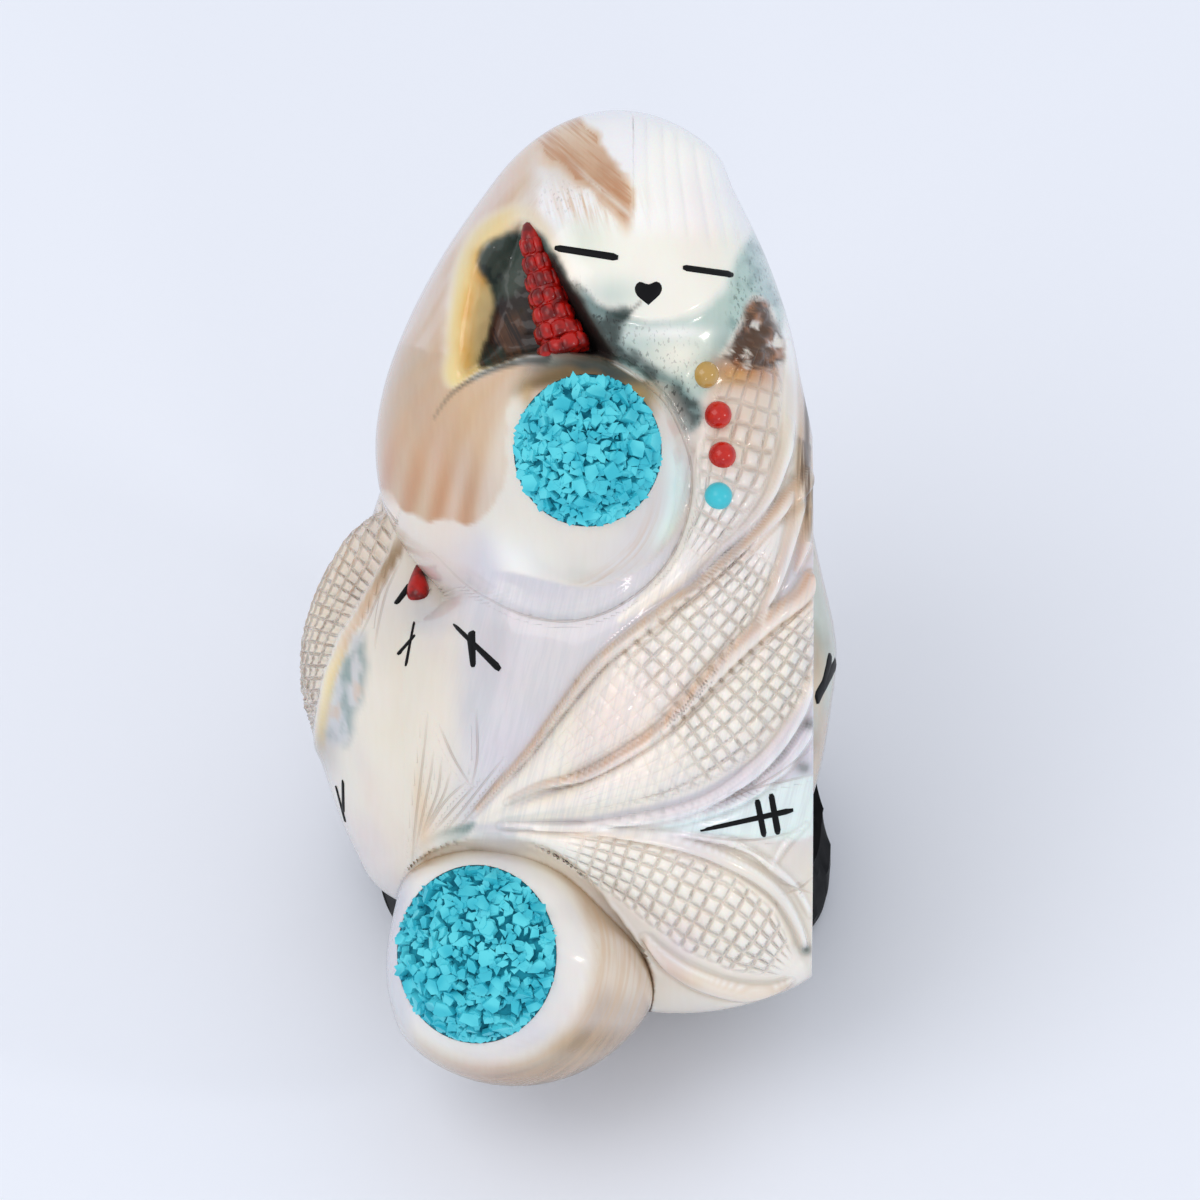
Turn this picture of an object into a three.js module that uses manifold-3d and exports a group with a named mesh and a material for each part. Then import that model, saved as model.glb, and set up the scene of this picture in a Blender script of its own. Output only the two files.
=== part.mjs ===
// A corn maiden fetish: one turban shell carved in relief and inlaid with coral, turquoise and
// amber, standing on a small polished black stone.
// Millimetres, +Z up, front towards -Y. The origin is the middle of the stone's flat underside.
import * as THREE from "three";
import { mergeVertices } from "three/addons/utils/BufferGeometryUtils.js";
import Module from "manifold-3d";

// Driving sizes
const shellLength = 120; // the carving, from the crown of the head to the foot of the lower knob
const leanFromLevel = 40; // degrees by which that length rises from the ground
const lipThickness = 4.2; // wall left in front of the shell's mouth
const mouthLength = 50;
const mouthWidth = 21;
const mouthDepth = 32;
const mouthTilt = 6.3; // degrees by which the mouth leans out of the carving's own frame
const earRise = 1.5; // how far the ears of corn stand out of the front
const kernelLength = 2;
const kernelRelief = 0.3;
const baseWidth = 58;
const baseDepth = 41;
const baseHeight = 12;
const baseEdge = 2.5; // rounding of the stone's edges
const upperBedWidth = 17.8;
const lowerBedWidth = 19.2;
const bedDepth = 1.6; // pocket that holds the crushed turquoise
const bedRise = 1.1; // how far the crushed turquoise stands proud of its pocket
const chipRelief = 0.35; // how rough its face is
const cornLength = 17.5;
const cornWidth = 6.6;
const cornSink = 2.4; // how far the middle of the coral ear of corn lies under the front
const recessDepth = 6.5;
const dropLength = 5.1;
const dropWidth = 2.8;
const dropSink = 0.5;
const beadDiameter = 3.4;
const beadProud = 1.1;
const clearance = 0.3; // gap between an inlay, or the stone, and the shell

// The carving is drawn in its own leaning frame: x to the right, y along its length, z out of its
// front. The numbers given to `scaled` and times `share` are in 120ths of the shell's length.
const share = shellLength / 120;
const scaled = (table) => table.map((value) => (Array.isArray(value) ? scaled(value) : value * share));
const footHeight = -34 * share; // the height in the leaning frame that stands over the stone's middle
const seatDepth = 12.3 * share; // how much of the leaning frame's lower back is ground away
const cutEdge = 26.1 * share; // from the middle plane to the sawn right edge of the front
const mouthPlace = scaled([29.6, -14]);

// Lobes of the shell. Each row is one oval section:
// height, left end, right end, front, widest depth, back.
const headRows = scaled([
  [56, -8.5, 12.9, 66, 57, 48],
  [50, -14, 16.5, 71.5, 53.5, 38],
  [42, -19.5, 20.4, 74.8, 50.5, 31],
  [34, -23.7, 23.2, 75.3, 49, 27],
  [26, -26.6, 24.9, 74, 48, 25],
  [18, -27.6, 26.5, 72, 47, 24],
  [10, -26, 27.5, 69, 46.5, 24],
  [4, -22.3, 26, 66, 46, 25],
  [-2, -16.5, 21, 62, 45.5, 27],
  [-8, -11, 14, 57, 45, 32],
]);
const panelRows = scaled([
  [32, 4, 21, 64, 50, 42],
  [24, -6, 24.4, 69, 48, 38],
  [14, -14, 28, 72, 46, 30],
  [4, -19, 31.5, 72, 44, 26],
  [-6, -22, 34, 70.5, 42, 22],
  [-16, -24, 36, 68, 40, 20],
  [-26, -24, 36.5, 64, 38.5, 19],
  [-36, -21, 34, 57.5, 37, 20],
  [-43, -14, 29.5, 50.5, 36.5, 23],
  [-48, -4, 23.5, 44, 36.5, 29],
]);
const leftRows = scaled([
  [9, -29.6, -2, 43, 34, 20],
  [4, -33.4, 4, 47, 33, 14],
  [-3, -36.4, 8, 54, 32, 9],
  [-10, -36.8, 9, 59, 32, 7],
  [-17, -35.3, 9, 60, 32, 7],
  [-24, -33.1, 7, 58, 32, 9],
  [-31, -30.2, 4, 54, 32, 12],
  [-36.5, -26, -2, 48, 33, 18],
]);
const rearRows = scaled([
  [32, -17, 16, 46, 36, 20],
  [24, -23, 21, 47, 31, 11],
  [14, -27, 25, 48, 28, 4],
  [4, -30, 27.3, 49, 26, -2],
  [-6, -31, 29.3, 50, 25, -4],
  [-14, -31, 28.5, 50, 26, -2],
  [-22, -29, 27, 48, 27, 3],
  [-30, -25, 24, 45, 29, 10],
  [-38, -17, 17, 42, 33, 22],
]);
const lowerKnobRows = scaled([
  [-32, -22.2, -3.9, 58, 44, 34],
  [-38, -25.3, 1.7, 62, 43, 29],
  [-44, -26.3, 5.7, 63, 42, 27],
  [-50, -25.7, 6.3, 60, 40.5, 27],
  [-55, -23.2, 2.4, 54, 39.5, 29],
]);
const headEnds = scaled([60, -14]);
const panelEnds = scaled([38, -51]);
const leftEnds = scaled([14, -40]);
const rearEnds = scaled([39, -42]);
const lowerKnobEnds = scaled([-29, -59.9]);
const squareness = 2.3; // 2 is a true oval

// The upper knob: a round swelling of the head, sharp where it meets the ears of corn and fading
// into the flank on the other side.
const upperKnob = { x: -1.5 * share, y: 13.8 * share, width: 26 * share, height: 33 * share };
const knobRise = 10.5 * share;
const knobSpread = 0.35; // how much farther it reaches on the side where it fades
const knobFullness = 0.6; // below 1 is steep at its edge
const knobFade = 1.3; // added to that on the side where it fades

// Ears of corn: the line along the middle of each as [x, y], and its half widths along that line.
const ears = [
  {
    path: scaled([[19.5, 32], [18.4, 24.5], [16.9, 17.2], [15, 11], [11, 4.9], [4, -1.5]]),
    half: scaled([1.5, 4.2, 4.6, 4, 2.6, 0.8]),
  },
  {
    path: scaled([[22.3, 9.5], [17.8, 2.5], [11, -4.9], [3.7, -12.3], [-3.7, -18.4], [-12, -25]]),
    half: scaled([1.4, 3.9, 5.2, 5.6, 4.2, 1]),
  },
  {
    path: scaled([[24, -3.5], [20, -10.5], [14.2, -16], [6.1, -21.5], [-2.5, -24.5], [-11, -27]]),
    half: scaled([2.4, 4.4, 4.6, 3.6, 2.5, 0.8]),
  },
  {
    path: scaled([[-9.4, -29.4], [-2.5, -32.1], [4.9, -35.6], [12.3, -39], [18.4, -42.1], [22.6, -44.6]]),
    half: scaled([0.8, 3, 4.8, 5.2, 4.2, 1.8]),
  },
  {
    path: scaled([[-27.5, 6], [-32.2, 1], [-34.3, -6], [-33.9, -12], [-32.6, -17.5]]),
    half: scaled([1.2, 2.4, 2.8, 2.4, 1]),
  },
];

// Husk leaves: raised lines with one half width in the middle, tapering to both ends. The last is
// the ridge under the chin.
const husks = [
  {
    path: scaled([[23.6, 11.5], [17, 5], [10.5, -1], [3.5, -7], [-3, -13], [-9, -20], [-14, -26]]),
    half: 1.1 * share,
    rise: 1.2 * share,
  },
  {
    path: scaled([[24.6, 1.5], [19.5, -4.6], [12, -12], [4, -18.6], [-4, -22.6], [-12.5, -26.2]]),
    half: 1.2 * share,
    rise: 1.3 * share,
  },
  {
    path: scaled([[24.8, -13.5], [21, -20], [14.5, -24.6], [6, -27], [-6, -28]]),
    half: share,
    rise: 0.9 * share,
  },
  {
    path: scaled([[-8, -28.3], [2, -29], [11, -31], [18.5, -34.2], [24.3, -40]]),
    half: share,
    rise: 0.9 * share,
  },
  {
    path: scaled([[5.5, -42], [9, -45.2], [13.5, -47.2], [18, -47.4], [22, -45.6]]),
    half: 1.5 * share,
    rise: 1.5 * share,
  },
  {
    path: scaled([[-27.4, 3], [-31.5, -6], [-32, -12], [-31, -19]]),
    half: 0.8 * share,
    rise: 0.8 * share,
  },
  {
    path: scaled([[-3.4, 38], [1, 35], [6, 34], [11, 35.5], [15, 39]]),
    half: 0.9 * share,
    rise: 0.6 * share,
  },
];
const frontRadius = 30 * share; // how the front curves away beside a raised line
const lineRoot = 1.6; // depth of a raised line under the front, over its rise above it

// The recess beside the face, and the line of the coral ear of corn that lies in it.
const recessOutline = scaled([
  [-14.7, 43.5],
  [-11, 46],
  [-7.5, 45],
  [-4.6, 41],
  [-1.5, 35],
  [-0.6, 27],
  [-13.5, 27],
]);
const cornTip = scaled([-9.1, 46.6]);
const cornFoot = scaled([-4.1, 29.6]);
const cornBands = 7;
const cornTaper = 0.085; // of its radius that each band loses
const cornGroove = 0.86; // radius between two bands, over the radius of the band
const cornPoint = 0.28; // radius at the foot of the smooth tip, over that of the whole

const dropPlace = scaled([-23, 1.9]); // its middle
const dropLean = [-0.04, 1]; // the way that its tip points on the front
const dropProfile = [[0, 0], [0.75, 0.02], [1, 0.2], [0.9, 0.42], [0.5, 0.75], [0, 1]];

// The two round beds of crushed turquoise, each a little taller than it is wide.
const upperBed = { x: -1.5 * share, y: 18.2 * share, tallness: 1.03, seed: 3 };
const lowerBed = { x: -15.1 * share, y: -43.4 * share, tallness: 1.12, seed: 8 };
const bedFall = 0.6; // of its rise that a bed loses towards its rim
// Beads: their places on the front, and how far they are lifted where they lie on an ear of corn.
const beads = {
  amber_bead: { at: scaled([13.1, 27.4]), lift: 0 },
  coral_bead_upper: { at: scaled([14.3, 22.6]), lift: 0.5 * earRise },
  coral_bead_lower: { at: scaled([14.7, 17.5]), lift: 0.8 * earRise },
  turquoise_bead: { at: scaled([14.2, 12.6]), lift: 0.9 * earRise },
};

// Corners of the stone's outline, as parts of its width and depth.
const stoneOutline = [
  [0.5, 0.02],
  [0.44, 0.3],
  [0.24, 0.5],
  [-0.08, 0.47],
  [-0.34, 0.42],
  [-0.49, 0.17],
  [-0.46, -0.2],
  [-0.25, -0.44],
  [0.05, -0.5],
  [0.33, -0.42],
  [0.47, -0.22],
];

// How finely each rounded form is faceted: sides around it, and rows along it.
const facets = {
  head: [32, 20],
  panel: [30, 20],
  rear: [20, 12],
  left: [22, 12],
  lowerKnob: [20, 12],
  husk: [6, 8],
  bead: [8, 6],
  mouth: [22, 14],
};
const earSides = 6;
const roundSides = 10; // of the coral ear of corn and the coral drop
const probeStep = 0.4 * share; // between the places that give the front's slope

const wasm = await Module();
wasm.setup();

// Solids from closed meshes, and meshes from solids

function solid(geometry) {
  const bare = geometry.clone();
  bare.deleteAttribute("normal");
  bare.deleteAttribute("uv");
  const merged = mergeVertices(bare, 1e-4);
  return new wasm.Manifold(
    new wasm.Mesh({
      numProp: 3,
      vertProperties: merged.attributes.position.array,
      triVerts: new Uint32Array(merged.index.array),
    }),
  );
}

function geometryOf(body) {
  const mesh = body.getMesh();
  const geometry = new THREE.BufferGeometry();
  geometry.setAttribute("position", new THREE.BufferAttribute(mesh.vertProperties, 3));
  geometry.setIndex(new THREE.BufferAttribute(mesh.triVerts, 1));
  return geometry;
}

function reshape(geometry, move) {
  const place = geometry.getAttribute("position");
  const point = new THREE.Vector3();
  for (let i = 0; i < place.count; i++) {
    point.fromBufferAttribute(place, i);
    move(point);
    place.setXYZ(i, point.x, point.y, point.z);
  }
  return geometry;
}

// Smooth curve through the rows of a table, whose first column falls; beyond its ends it is level.
function smoothTable(rows) {
  const slopes = rows.map((row, i) => {
    if (i === 0 || i === rows.length - 1) return row.map(() => 0);
    const [before, after] = [rows[i - 1], rows[i + 1]];
    return row.map((_, k) => (after[k] - before[k]) / (after[0] - before[0]));
  });
  return (height) => {
    if (height >= rows[0][0]) return rows[0];
    if (height <= rows[rows.length - 1][0]) return rows[rows.length - 1];
    const i = rows.findIndex((row) => row[0] < height) - 1;
    const span = rows[i + 1][0] - rows[i][0];
    const t = (height - rows[i][0]) / span;
    const stay = (1 + 2 * t) * (1 - t) ** 2;
    const come = t * t * (3 - 2 * t);
    return rows[i].map(
      (value, k) =>
        stay * value +
        come * rows[i + 1][k] +
        t * (1 - t) ** 2 * span * slopes[i][k] +
        t * t * (t - 1) * span * slopes[i + 1][k],
    );
  };
}

// A lobe: its sections round off to a point at both ends.
function makeLobe(rows, [top, bottom], swelling = () => 0) {
  const middle = (top + bottom) / 2;
  const reach = (top - bottom) / 2;
  const ring = (height) => Math.sqrt(Math.max(0, 1 - ((height - middle) / reach) ** 2));
  const fullness = smoothTable(
    rows.map(([height, leftEnd, rightEnd, front, widest, back]) => [
      height,
      (leftEnd + rightEnd) / 2,
      (rightEnd - leftEnd) / 2 / ring(height),
      widest,
      (front - widest) / ring(height),
      (widest - back) / ring(height),
    ]),
  );
  const section = (height) => {
    const [, centre, half, widest, front, back] = fullness(height);
    const r = ring(height);
    return { centre, half: half * r, widest, front: front * r, back: back * r };
  };
  const depth = (x, y) => {
    if (y >= top || y <= bottom) return -Infinity;
    const { centre, half, widest, front } = section(y);
    const across = Math.abs(x - centre) / half;
    if (across >= 1) return -Infinity;
    return widest + front * (1 - across ** squareness) ** (1 / squareness) + swelling(x, y);
  };
  const build = ([around, along]) =>
    reshape(new THREE.SphereGeometry(1, around, along), (p) => {
      const height = middle + reach * p.y;
      const { centre, half, widest, front, back } = section(height);
      const turn = Math.atan2(p.z, p.x);
      const round = (value) => Math.sign(value) * Math.abs(value) ** (2 / squareness);
      const isPole = Math.hypot(p.x, p.z) < 1e-6;
      const x = isPole ? centre : centre + half * round(Math.cos(turn));
      const out = isPole ? 0 : round(Math.sin(turn));
      const z = widest + (out > 0 ? front * out + swelling(x, height) * out ** 0.5 : back * out);
      p.set(x, height, z);
    });
  return { depth, build };
}

function knobSwelling(x, y) {
  const right = (x - upperKnob.x) / (upperKnob.width / 2);
  const up = (y - upperKnob.y) / (upperKnob.height / 2);
  const leftness = THREE.MathUtils.smoothstep(-right, -0.1, 0.9);
  const distance = Math.hypot(right, up) / (1 + knobSpread * leftness);
  if (distance >= 1) return 0;
  return knobRise * (1 - distance ** 2) ** (knobFullness + knobFade * leftness);
}

const head = makeLobe(headRows, headEnds, knobSwelling);
const panel = makeLobe(panelRows, panelEnds);
const left = makeLobe(leftRows, leftEnds);
const rear = makeLobe(rearRows, rearEnds);
const lowerKnob = makeLobe(lowerKnobRows, lowerKnobEnds);

// Depth of the front surface at a place in the leaning frame, and the direction out of it.
function frontDepth(x, y) {
  return Math.max(...[head, panel, left, lowerKnob].map((lobe) => lobe.depth(x, y)));
}

function frontFrame(x, y) {
  const acrossRise = frontDepth(x + probeStep, y) - frontDepth(x - probeStep, y);
  const alongRise = frontDepth(x, y + probeStep) - frontDepth(x, y - probeStep);
  const out = new THREE.Vector3(-acrossRise, -alongRise, 2 * probeStep).normalize();
  return { point: new THREE.Vector3(x, y, frontDepth(x, y)), out };
}

// Half width along a raised line, at t from 0 to 1: read from a list, or one that tapers to both ends.
function halfWidth(half, t) {
  if (typeof half === "number") return half * Math.sin(Math.PI * t) ** 0.5;
  const place = t * (half.length - 1);
  const i = Math.min(Math.floor(place), half.length - 2);
  return THREE.MathUtils.lerp(half[i], half[i + 1], place - i);
}

// A raised spindle that follows a line drawn on the front: an ear of corn or a husk leaf.
function spindle({ path, half, rise, relief = 0 }, [around, rows]) {
  const points = path.map(([x, y]) => new THREE.Vector3(x, y, 0));
  const line = new THREE.CatmullRomCurve3(points, false, "centripetal");
  return reshape(new THREE.SphereGeometry(1, around, rows), (p) => {
    const t = Math.acos(THREE.MathUtils.clamp(p.y, -1, 1)) / Math.PI;
    const at = line.getPoint(t);
    const { point, out } = frontFrame(at.x, at.y);
    const side = new THREE.Vector3().crossVectors(out, line.getTangent(t)).normalize();
    const turn = Math.atan2(p.z, p.x);
    const row = Math.round(t * rows);
    const column = Math.round((turn / (2 * Math.PI)) * around);
    const kernel = relief * ((row % 2 === 0 ? 0.5 : -0.5) + (column % 2 === 0 ? 0.5 : -0.5));
    const isEnd = t < 1e-4 || t > 1 - 1e-4;
    const across = isEnd ? 0 : halfWidth(half, t) * Math.cos(turn);
    const up = isEnd ? 0 : (rise + kernel) * Math.sin(turn) * (turn > 0 ? 1 : lineRoot);
    p.copy(point)
      .addScaledVector(side, across)
      .addScaledVector(out, up - across ** 2 / (2 * frontRadius));
  });
}

function earOfCorn({ path, half }) {
  const steps = path.slice(1).map(([x, y], i) => Math.hypot(x - path[i][0], y - path[i][1]));
  const length = steps.reduce((sum, step) => sum + step, 0);
  const rows = 4 * Math.round(length / kernelLength / 2);
  return spindle({ path, half, rise: earRise, relief: kernelRelief }, [earSides, rows]);
}

// A disc laid on the front: its rim, floor and crown follow the surface under it. A rough one has
// more rings, and its face goes up and down by the chips.
function bed({ x, y, tallness, seed }, width, floor, crown, relief) {
  const half = width / 2;
  const rings = relief ? 4 : 1;
  const profile = [new THREE.Vector2(0, 0), new THREE.Vector2(1, 0)];
  for (let ring = rings; ring >= 0; ring--) profile.push(new THREE.Vector2(ring / rings, 1));
  return reshape(new THREE.LatheGeometry(profile, 18), (p) => {
    const radius = Math.hypot(p.x, p.z);
    const isFace = p.y > 0.5;
    const isRough = isFace && radius > 0.1 && radius < 0.9;
    const chip = isRough ? relief * Math.sin(seed + 97 * p.x + 211 * p.z) : 0;
    const lift = isFace ? crown * (1 - bedFall * radius ** 4) + chip : -floor;
    const place = [x + p.x * half, y - p.z * half * tallness];
    p.set(...place, frontDepth(...place) + lift);
  });
}

// Points along a smooth closed curve through the corners.
function closedCurve(corners, count) {
  const loop = corners.map(({ x, y }) => new THREE.Vector3(x, y, 0));
  const curve = new THREE.CatmullRomCurve3(loop, true, "centripetal");
  return curve.getPoints(count).slice(0, -1).map(({ x, y }) => new THREE.Vector2(x, y));
}

// The recess for the coral ear of corn, cut straight back from the front.
function recess() {
  const corners = recessOutline.map(([x, y]) => new THREE.Vector2(x, y));
  const outline = new THREE.Shape(closedCurve(corners, 24));
  const floorAt = frontDepth(...cornFoot) - knobSwelling(...cornFoot) - recessDepth;
  const depth = 2 * recessDepth;
  const cutter = new THREE.ExtrudeGeometry(outline, { depth, bevelEnabled: false, steps: 1 });
  return cutter.translate(0, 0, floorAt);
}

// The hollow that holds a turned inlay of this length and width, open along its whole length.
function hollowFor(length, width) {
  const radius = width / 2 + clearance;
  const room = new THREE.CylinderGeometry(radius, radius, length + 2 * clearance, roundSides + 2);
  return room.translate(0, length / 2, 0);
}

// The coral ear of corn: bands of kernels from its foot to a pointed tip.
function coralCorn() {
  const radius = cornWidth / 2;
  const band = cornLength / (cornBands + 1);
  const profile = [new THREE.Vector2(0, 0)];
  for (let i = 0; i < cornBands; i++) {
    const outer = radius * (1 - cornTaper * i);
    profile.push(new THREE.Vector2(outer * cornGroove, band * i));
    profile.push(new THREE.Vector2(outer, band * (i + 0.5)));
  }
  profile.push(new THREE.Vector2(radius * cornPoint, band * (cornBands + 0.3)));
  profile.push(new THREE.Vector2(0, cornLength));
  return new THREE.LatheGeometry(profile, roundSides);
}

function coralDrop() {
  const profile = dropProfile.map(([r, h]) => new THREE.Vector2((r * dropWidth) / 2, h * dropLength));
  return new THREE.LatheGeometry(profile, roundSides);
}

// Where something lies on the front: a matrix that turns +Y to `ahead` and +Z out of the surface.
function lying([x, y], ahead, sink) {
  const { point, out } = frontFrame(x, y);
  const forward = new THREE.Vector3(...ahead, 0);
  forward.addScaledVector(out, -forward.dot(out)).normalize();
  const side = new THREE.Vector3().crossVectors(forward, out);
  return new THREE.Matrix4().makeBasis(side, forward, out).setPosition(point.addScaledVector(out, -sink));
}

// The shell's mouth: an oval hollow that opens on the right, behind the sawn edge.
function mouth() {
  const [x, y] = mouthPlace;
  const lip = panel.depth(cutEdge, y) - lipThickness;
  const hollow = new THREE.SphereGeometry(1, ...facets.mouth);
  hollow.scale(mouthDepth, mouthLength / 2, mouthWidth / 2);
  hollow.rotateX(THREE.MathUtils.degToRad(mouthTilt));
  return hollow.translate(x, y, lip - mouthWidth / 2);
}

// The leaning frame, stood on the stone.
const standing = new THREE.Matrix4()
  .makeTranslation(0, 0, baseHeight + clearance - seatDepth)
  .multiply(new THREE.Matrix4().makeRotationX(THREE.MathUtils.degToRad(leanFromLevel)))
  .multiply(new THREE.Matrix4().makeTranslation(0, -footHeight, 0));

// The flat that the shell is ground to where it stands on the stone, as a block in its own frame.
function seat() {
  const block = new THREE.BoxGeometry(3 * shellLength, 3 * shellLength, shellLength);
  block.translate(0, 0, baseHeight + clearance - shellLength / 2);
  return block.applyMatrix4(standing.clone().invert());
}

// Everything to the right of the sawn edge and in front of the shell's rear half.
function sawnOff() {
  const block = new THREE.BoxGeometry(shellLength, 2 * shellLength, shellLength);
  return block.translate(cutEdge + shellLength / 2, 0, shellLength / 2);
}

function cornMatrix() {
  const middle = [0, 1].map((axis) => (cornTip[axis] + cornFoot[axis]) / 2);
  const ahead = [0, 1].map((axis) => cornTip[axis] - cornFoot[axis]);
  const toFoot = new THREE.Matrix4().makeTranslation(0, -cornLength / 2, 0);
  return lying(middle, ahead, cornSink).multiply(toFoot);
}

function dropMatrix() {
  const toFoot = new THREE.Matrix4().makeTranslation(0, -dropLength / 2, 0);
  return lying(dropPlace, dropLean, dropSink).multiply(toFoot);
}

function bead({ at, lift }, radius) {
  const ball = new THREE.SphereGeometry(radius, ...facets.bead);
  return ball.applyMatrix4(lying(at, [0, 1], beadDiameter / 2 - beadProud - lift));
}

// The pocket under a bed of crushed turquoise.
function pocket(at, width) {
  return bed(at, width + 2 * clearance, bedDepth, 3 * bedDepth, 0);
}

function shellCarving() {
  const front = solid(panel.build(facets.panel)).add(solid(head.build(facets.head)));
  const added = [
    rear.build(facets.rear),
    left.build(facets.left),
    lowerKnob.build(facets.lowerKnob),
    ...ears.map(earOfCorn),
    ...husks.map((husk) => spindle(husk, facets.husk)),
  ];
  const removed = [
    mouth(),
    recess(),
    pocket(upperBed, upperBedWidth),
    pocket(lowerBed, lowerBedWidth),
    ...Object.values(beads).map((place) => bead(place, beadDiameter / 2 + clearance)),
    hollowFor(cornLength, cornWidth).applyMatrix4(cornMatrix()),
    hollowFor(dropLength, dropWidth).applyMatrix4(dropMatrix()),
    seat(),
  ];
  const sawn = front.subtract(solid(sawnOff()));
  const whole = added.reduce((body, geometry) => body.add(solid(geometry)), sawn);
  const carved = removed.reduce((body, geometry) => body.subtract(solid(geometry)), whole);
  return geometryOf(outerSkin(carved));
}

// The shell without the small hollows that its lobes close off between them.
function outerSkin(body) {
  return body.decompose().reduce((most, part) => (part.volume() > most.volume() ? part : most));
}

// The stone: an irregular rounded outline with rounded edges and a flat underside.
function blackStone() {
  const width = baseWidth - 2 * baseEdge;
  const depth = baseDepth - 2 * baseEdge;
  const corners = stoneOutline.map(([x, y]) => new THREE.Vector2(x * width, y * depth));
  const stone = new THREE.ExtrudeGeometry(new THREE.Shape(closedCurve(corners, 33)), {
    depth: baseHeight - 2 * baseEdge,
    bevelThickness: baseEdge,
    bevelSize: baseEdge,
    bevelSegments: 3,
    steps: 1,
  });
  return stone.translate(0, 0, baseEdge);
}

function piece(name, geometry, { color, roughness }, matrix) {
  const mesh = new THREE.Mesh(geometry, new THREE.MeshStandardMaterial({ color, roughness }));
  mesh.name = name;
  if (matrix) mesh.applyMatrix4(matrix);
  return mesh;
}

const pearlyShell = { color: 0xe9e2d4, roughness: 0.25 };
const darkCoral = { color: 0x8f1612, roughness: 0.35 };
const redCoral = { color: 0xc4241a, roughness: 0.25 };
const turquoise = { color: 0x25b7d3, roughness: 0.4 };
const amber = { color: 0xd9a441, roughness: 0.2 };
const blackPolish = { color: 0x0c0c0e, roughness: 0.15 };
const beadMaterials = {
  amber_bead: amber,
  coral_bead_upper: redCoral,
  coral_bead_lower: redCoral,
  turquoise_bead: turquoise,
};
const chipsDepth = bedDepth - clearance;
const upperChips = bed(upperBed, upperBedWidth, chipsDepth, bedRise, chipRelief);
const lowerChips = bed(lowerBed, lowerBedWidth, chipsDepth, bedRise, chipRelief);

const carving = new THREE.Group();
carving.applyMatrix4(standing);
carving.add(piece("shell_carving", shellCarving(), pearlyShell));
carving.add(piece("coral_corn_ear", coralCorn(), darkCoral, cornMatrix()));
carving.add(piece("coral_teardrop", coralDrop(), redCoral, dropMatrix()));
carving.add(piece("turquoise_chips_upper", upperChips, turquoise));
carving.add(piece("turquoise_chips_lower", lowerChips, turquoise));
Object.entries(beads).forEach(([name, place]) => {
  carving.add(piece(name, bead(place, beadDiameter / 2), beadMaterials[name]));
});

const fetish = new THREE.Group();
fetish.add(carving);
fetish.add(piece("black_stone_base", blackStone(), blackPolish));

export default fetish;
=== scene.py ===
# The looks of a corn maiden fetish: a turban shell carved in relief, inlaid with coral, turquoise
# and amber, on a small polished black stone.
import math

import bmesh
import bpy
import numpy as np
from mathutils import Matrix, Vector
from mathutils.bvhtree import BVHTree


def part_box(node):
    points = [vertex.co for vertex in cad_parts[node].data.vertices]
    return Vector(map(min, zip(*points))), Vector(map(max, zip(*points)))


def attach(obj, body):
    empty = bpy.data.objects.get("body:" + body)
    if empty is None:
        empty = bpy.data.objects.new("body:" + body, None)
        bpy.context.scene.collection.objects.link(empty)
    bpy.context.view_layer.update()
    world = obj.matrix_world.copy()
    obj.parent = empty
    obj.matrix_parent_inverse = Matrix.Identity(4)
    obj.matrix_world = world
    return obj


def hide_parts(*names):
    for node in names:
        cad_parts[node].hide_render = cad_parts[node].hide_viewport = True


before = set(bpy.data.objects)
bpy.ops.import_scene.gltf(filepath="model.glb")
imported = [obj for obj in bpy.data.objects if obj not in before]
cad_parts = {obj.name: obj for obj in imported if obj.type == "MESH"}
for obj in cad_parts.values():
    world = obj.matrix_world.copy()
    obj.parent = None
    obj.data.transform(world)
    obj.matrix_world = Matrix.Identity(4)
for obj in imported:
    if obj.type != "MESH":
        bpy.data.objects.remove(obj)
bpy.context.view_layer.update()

# The carving is worked out in millimetres in its own leaning frame: x to the right, y along its
# length, depth out of its front. These sizes are the part's own.
LEAN = math.radians(40)
FOOT_HEIGHT = -34
CUT_EDGE = 26.1
LIP_THICKNESS = 4.2
MOUTH_RADII = (32, 25, 10.5)
MOUTH_PLACE = (29.6, -14)
MOUTH_TILT = math.radians(6.3)
SEAT_LEVEL = 12.3
BED_DEPTH = 1.6
BED_RISE = 1.1
CORN_LENGTH = 17.5
CORN_RADIUS = 3.3
CORN_SINK = 2.4
CORN_BANDS = 7
CORN_AROUND = 9
DROP_LENGTH = 5.8
DROP_RADIUS = 1.45
DROP_AHEAD = (-0.04, 1, -0.6)
RECESS_DEPTH = 6
BEAD_RADIUS = 1.7
BEADS = ("amber_bead", "coral_bead_upper", "coral_bead_lower", "turquoise_bead")
CLEARANCE = 0.3
SQUARENESS = 2.3

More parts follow.
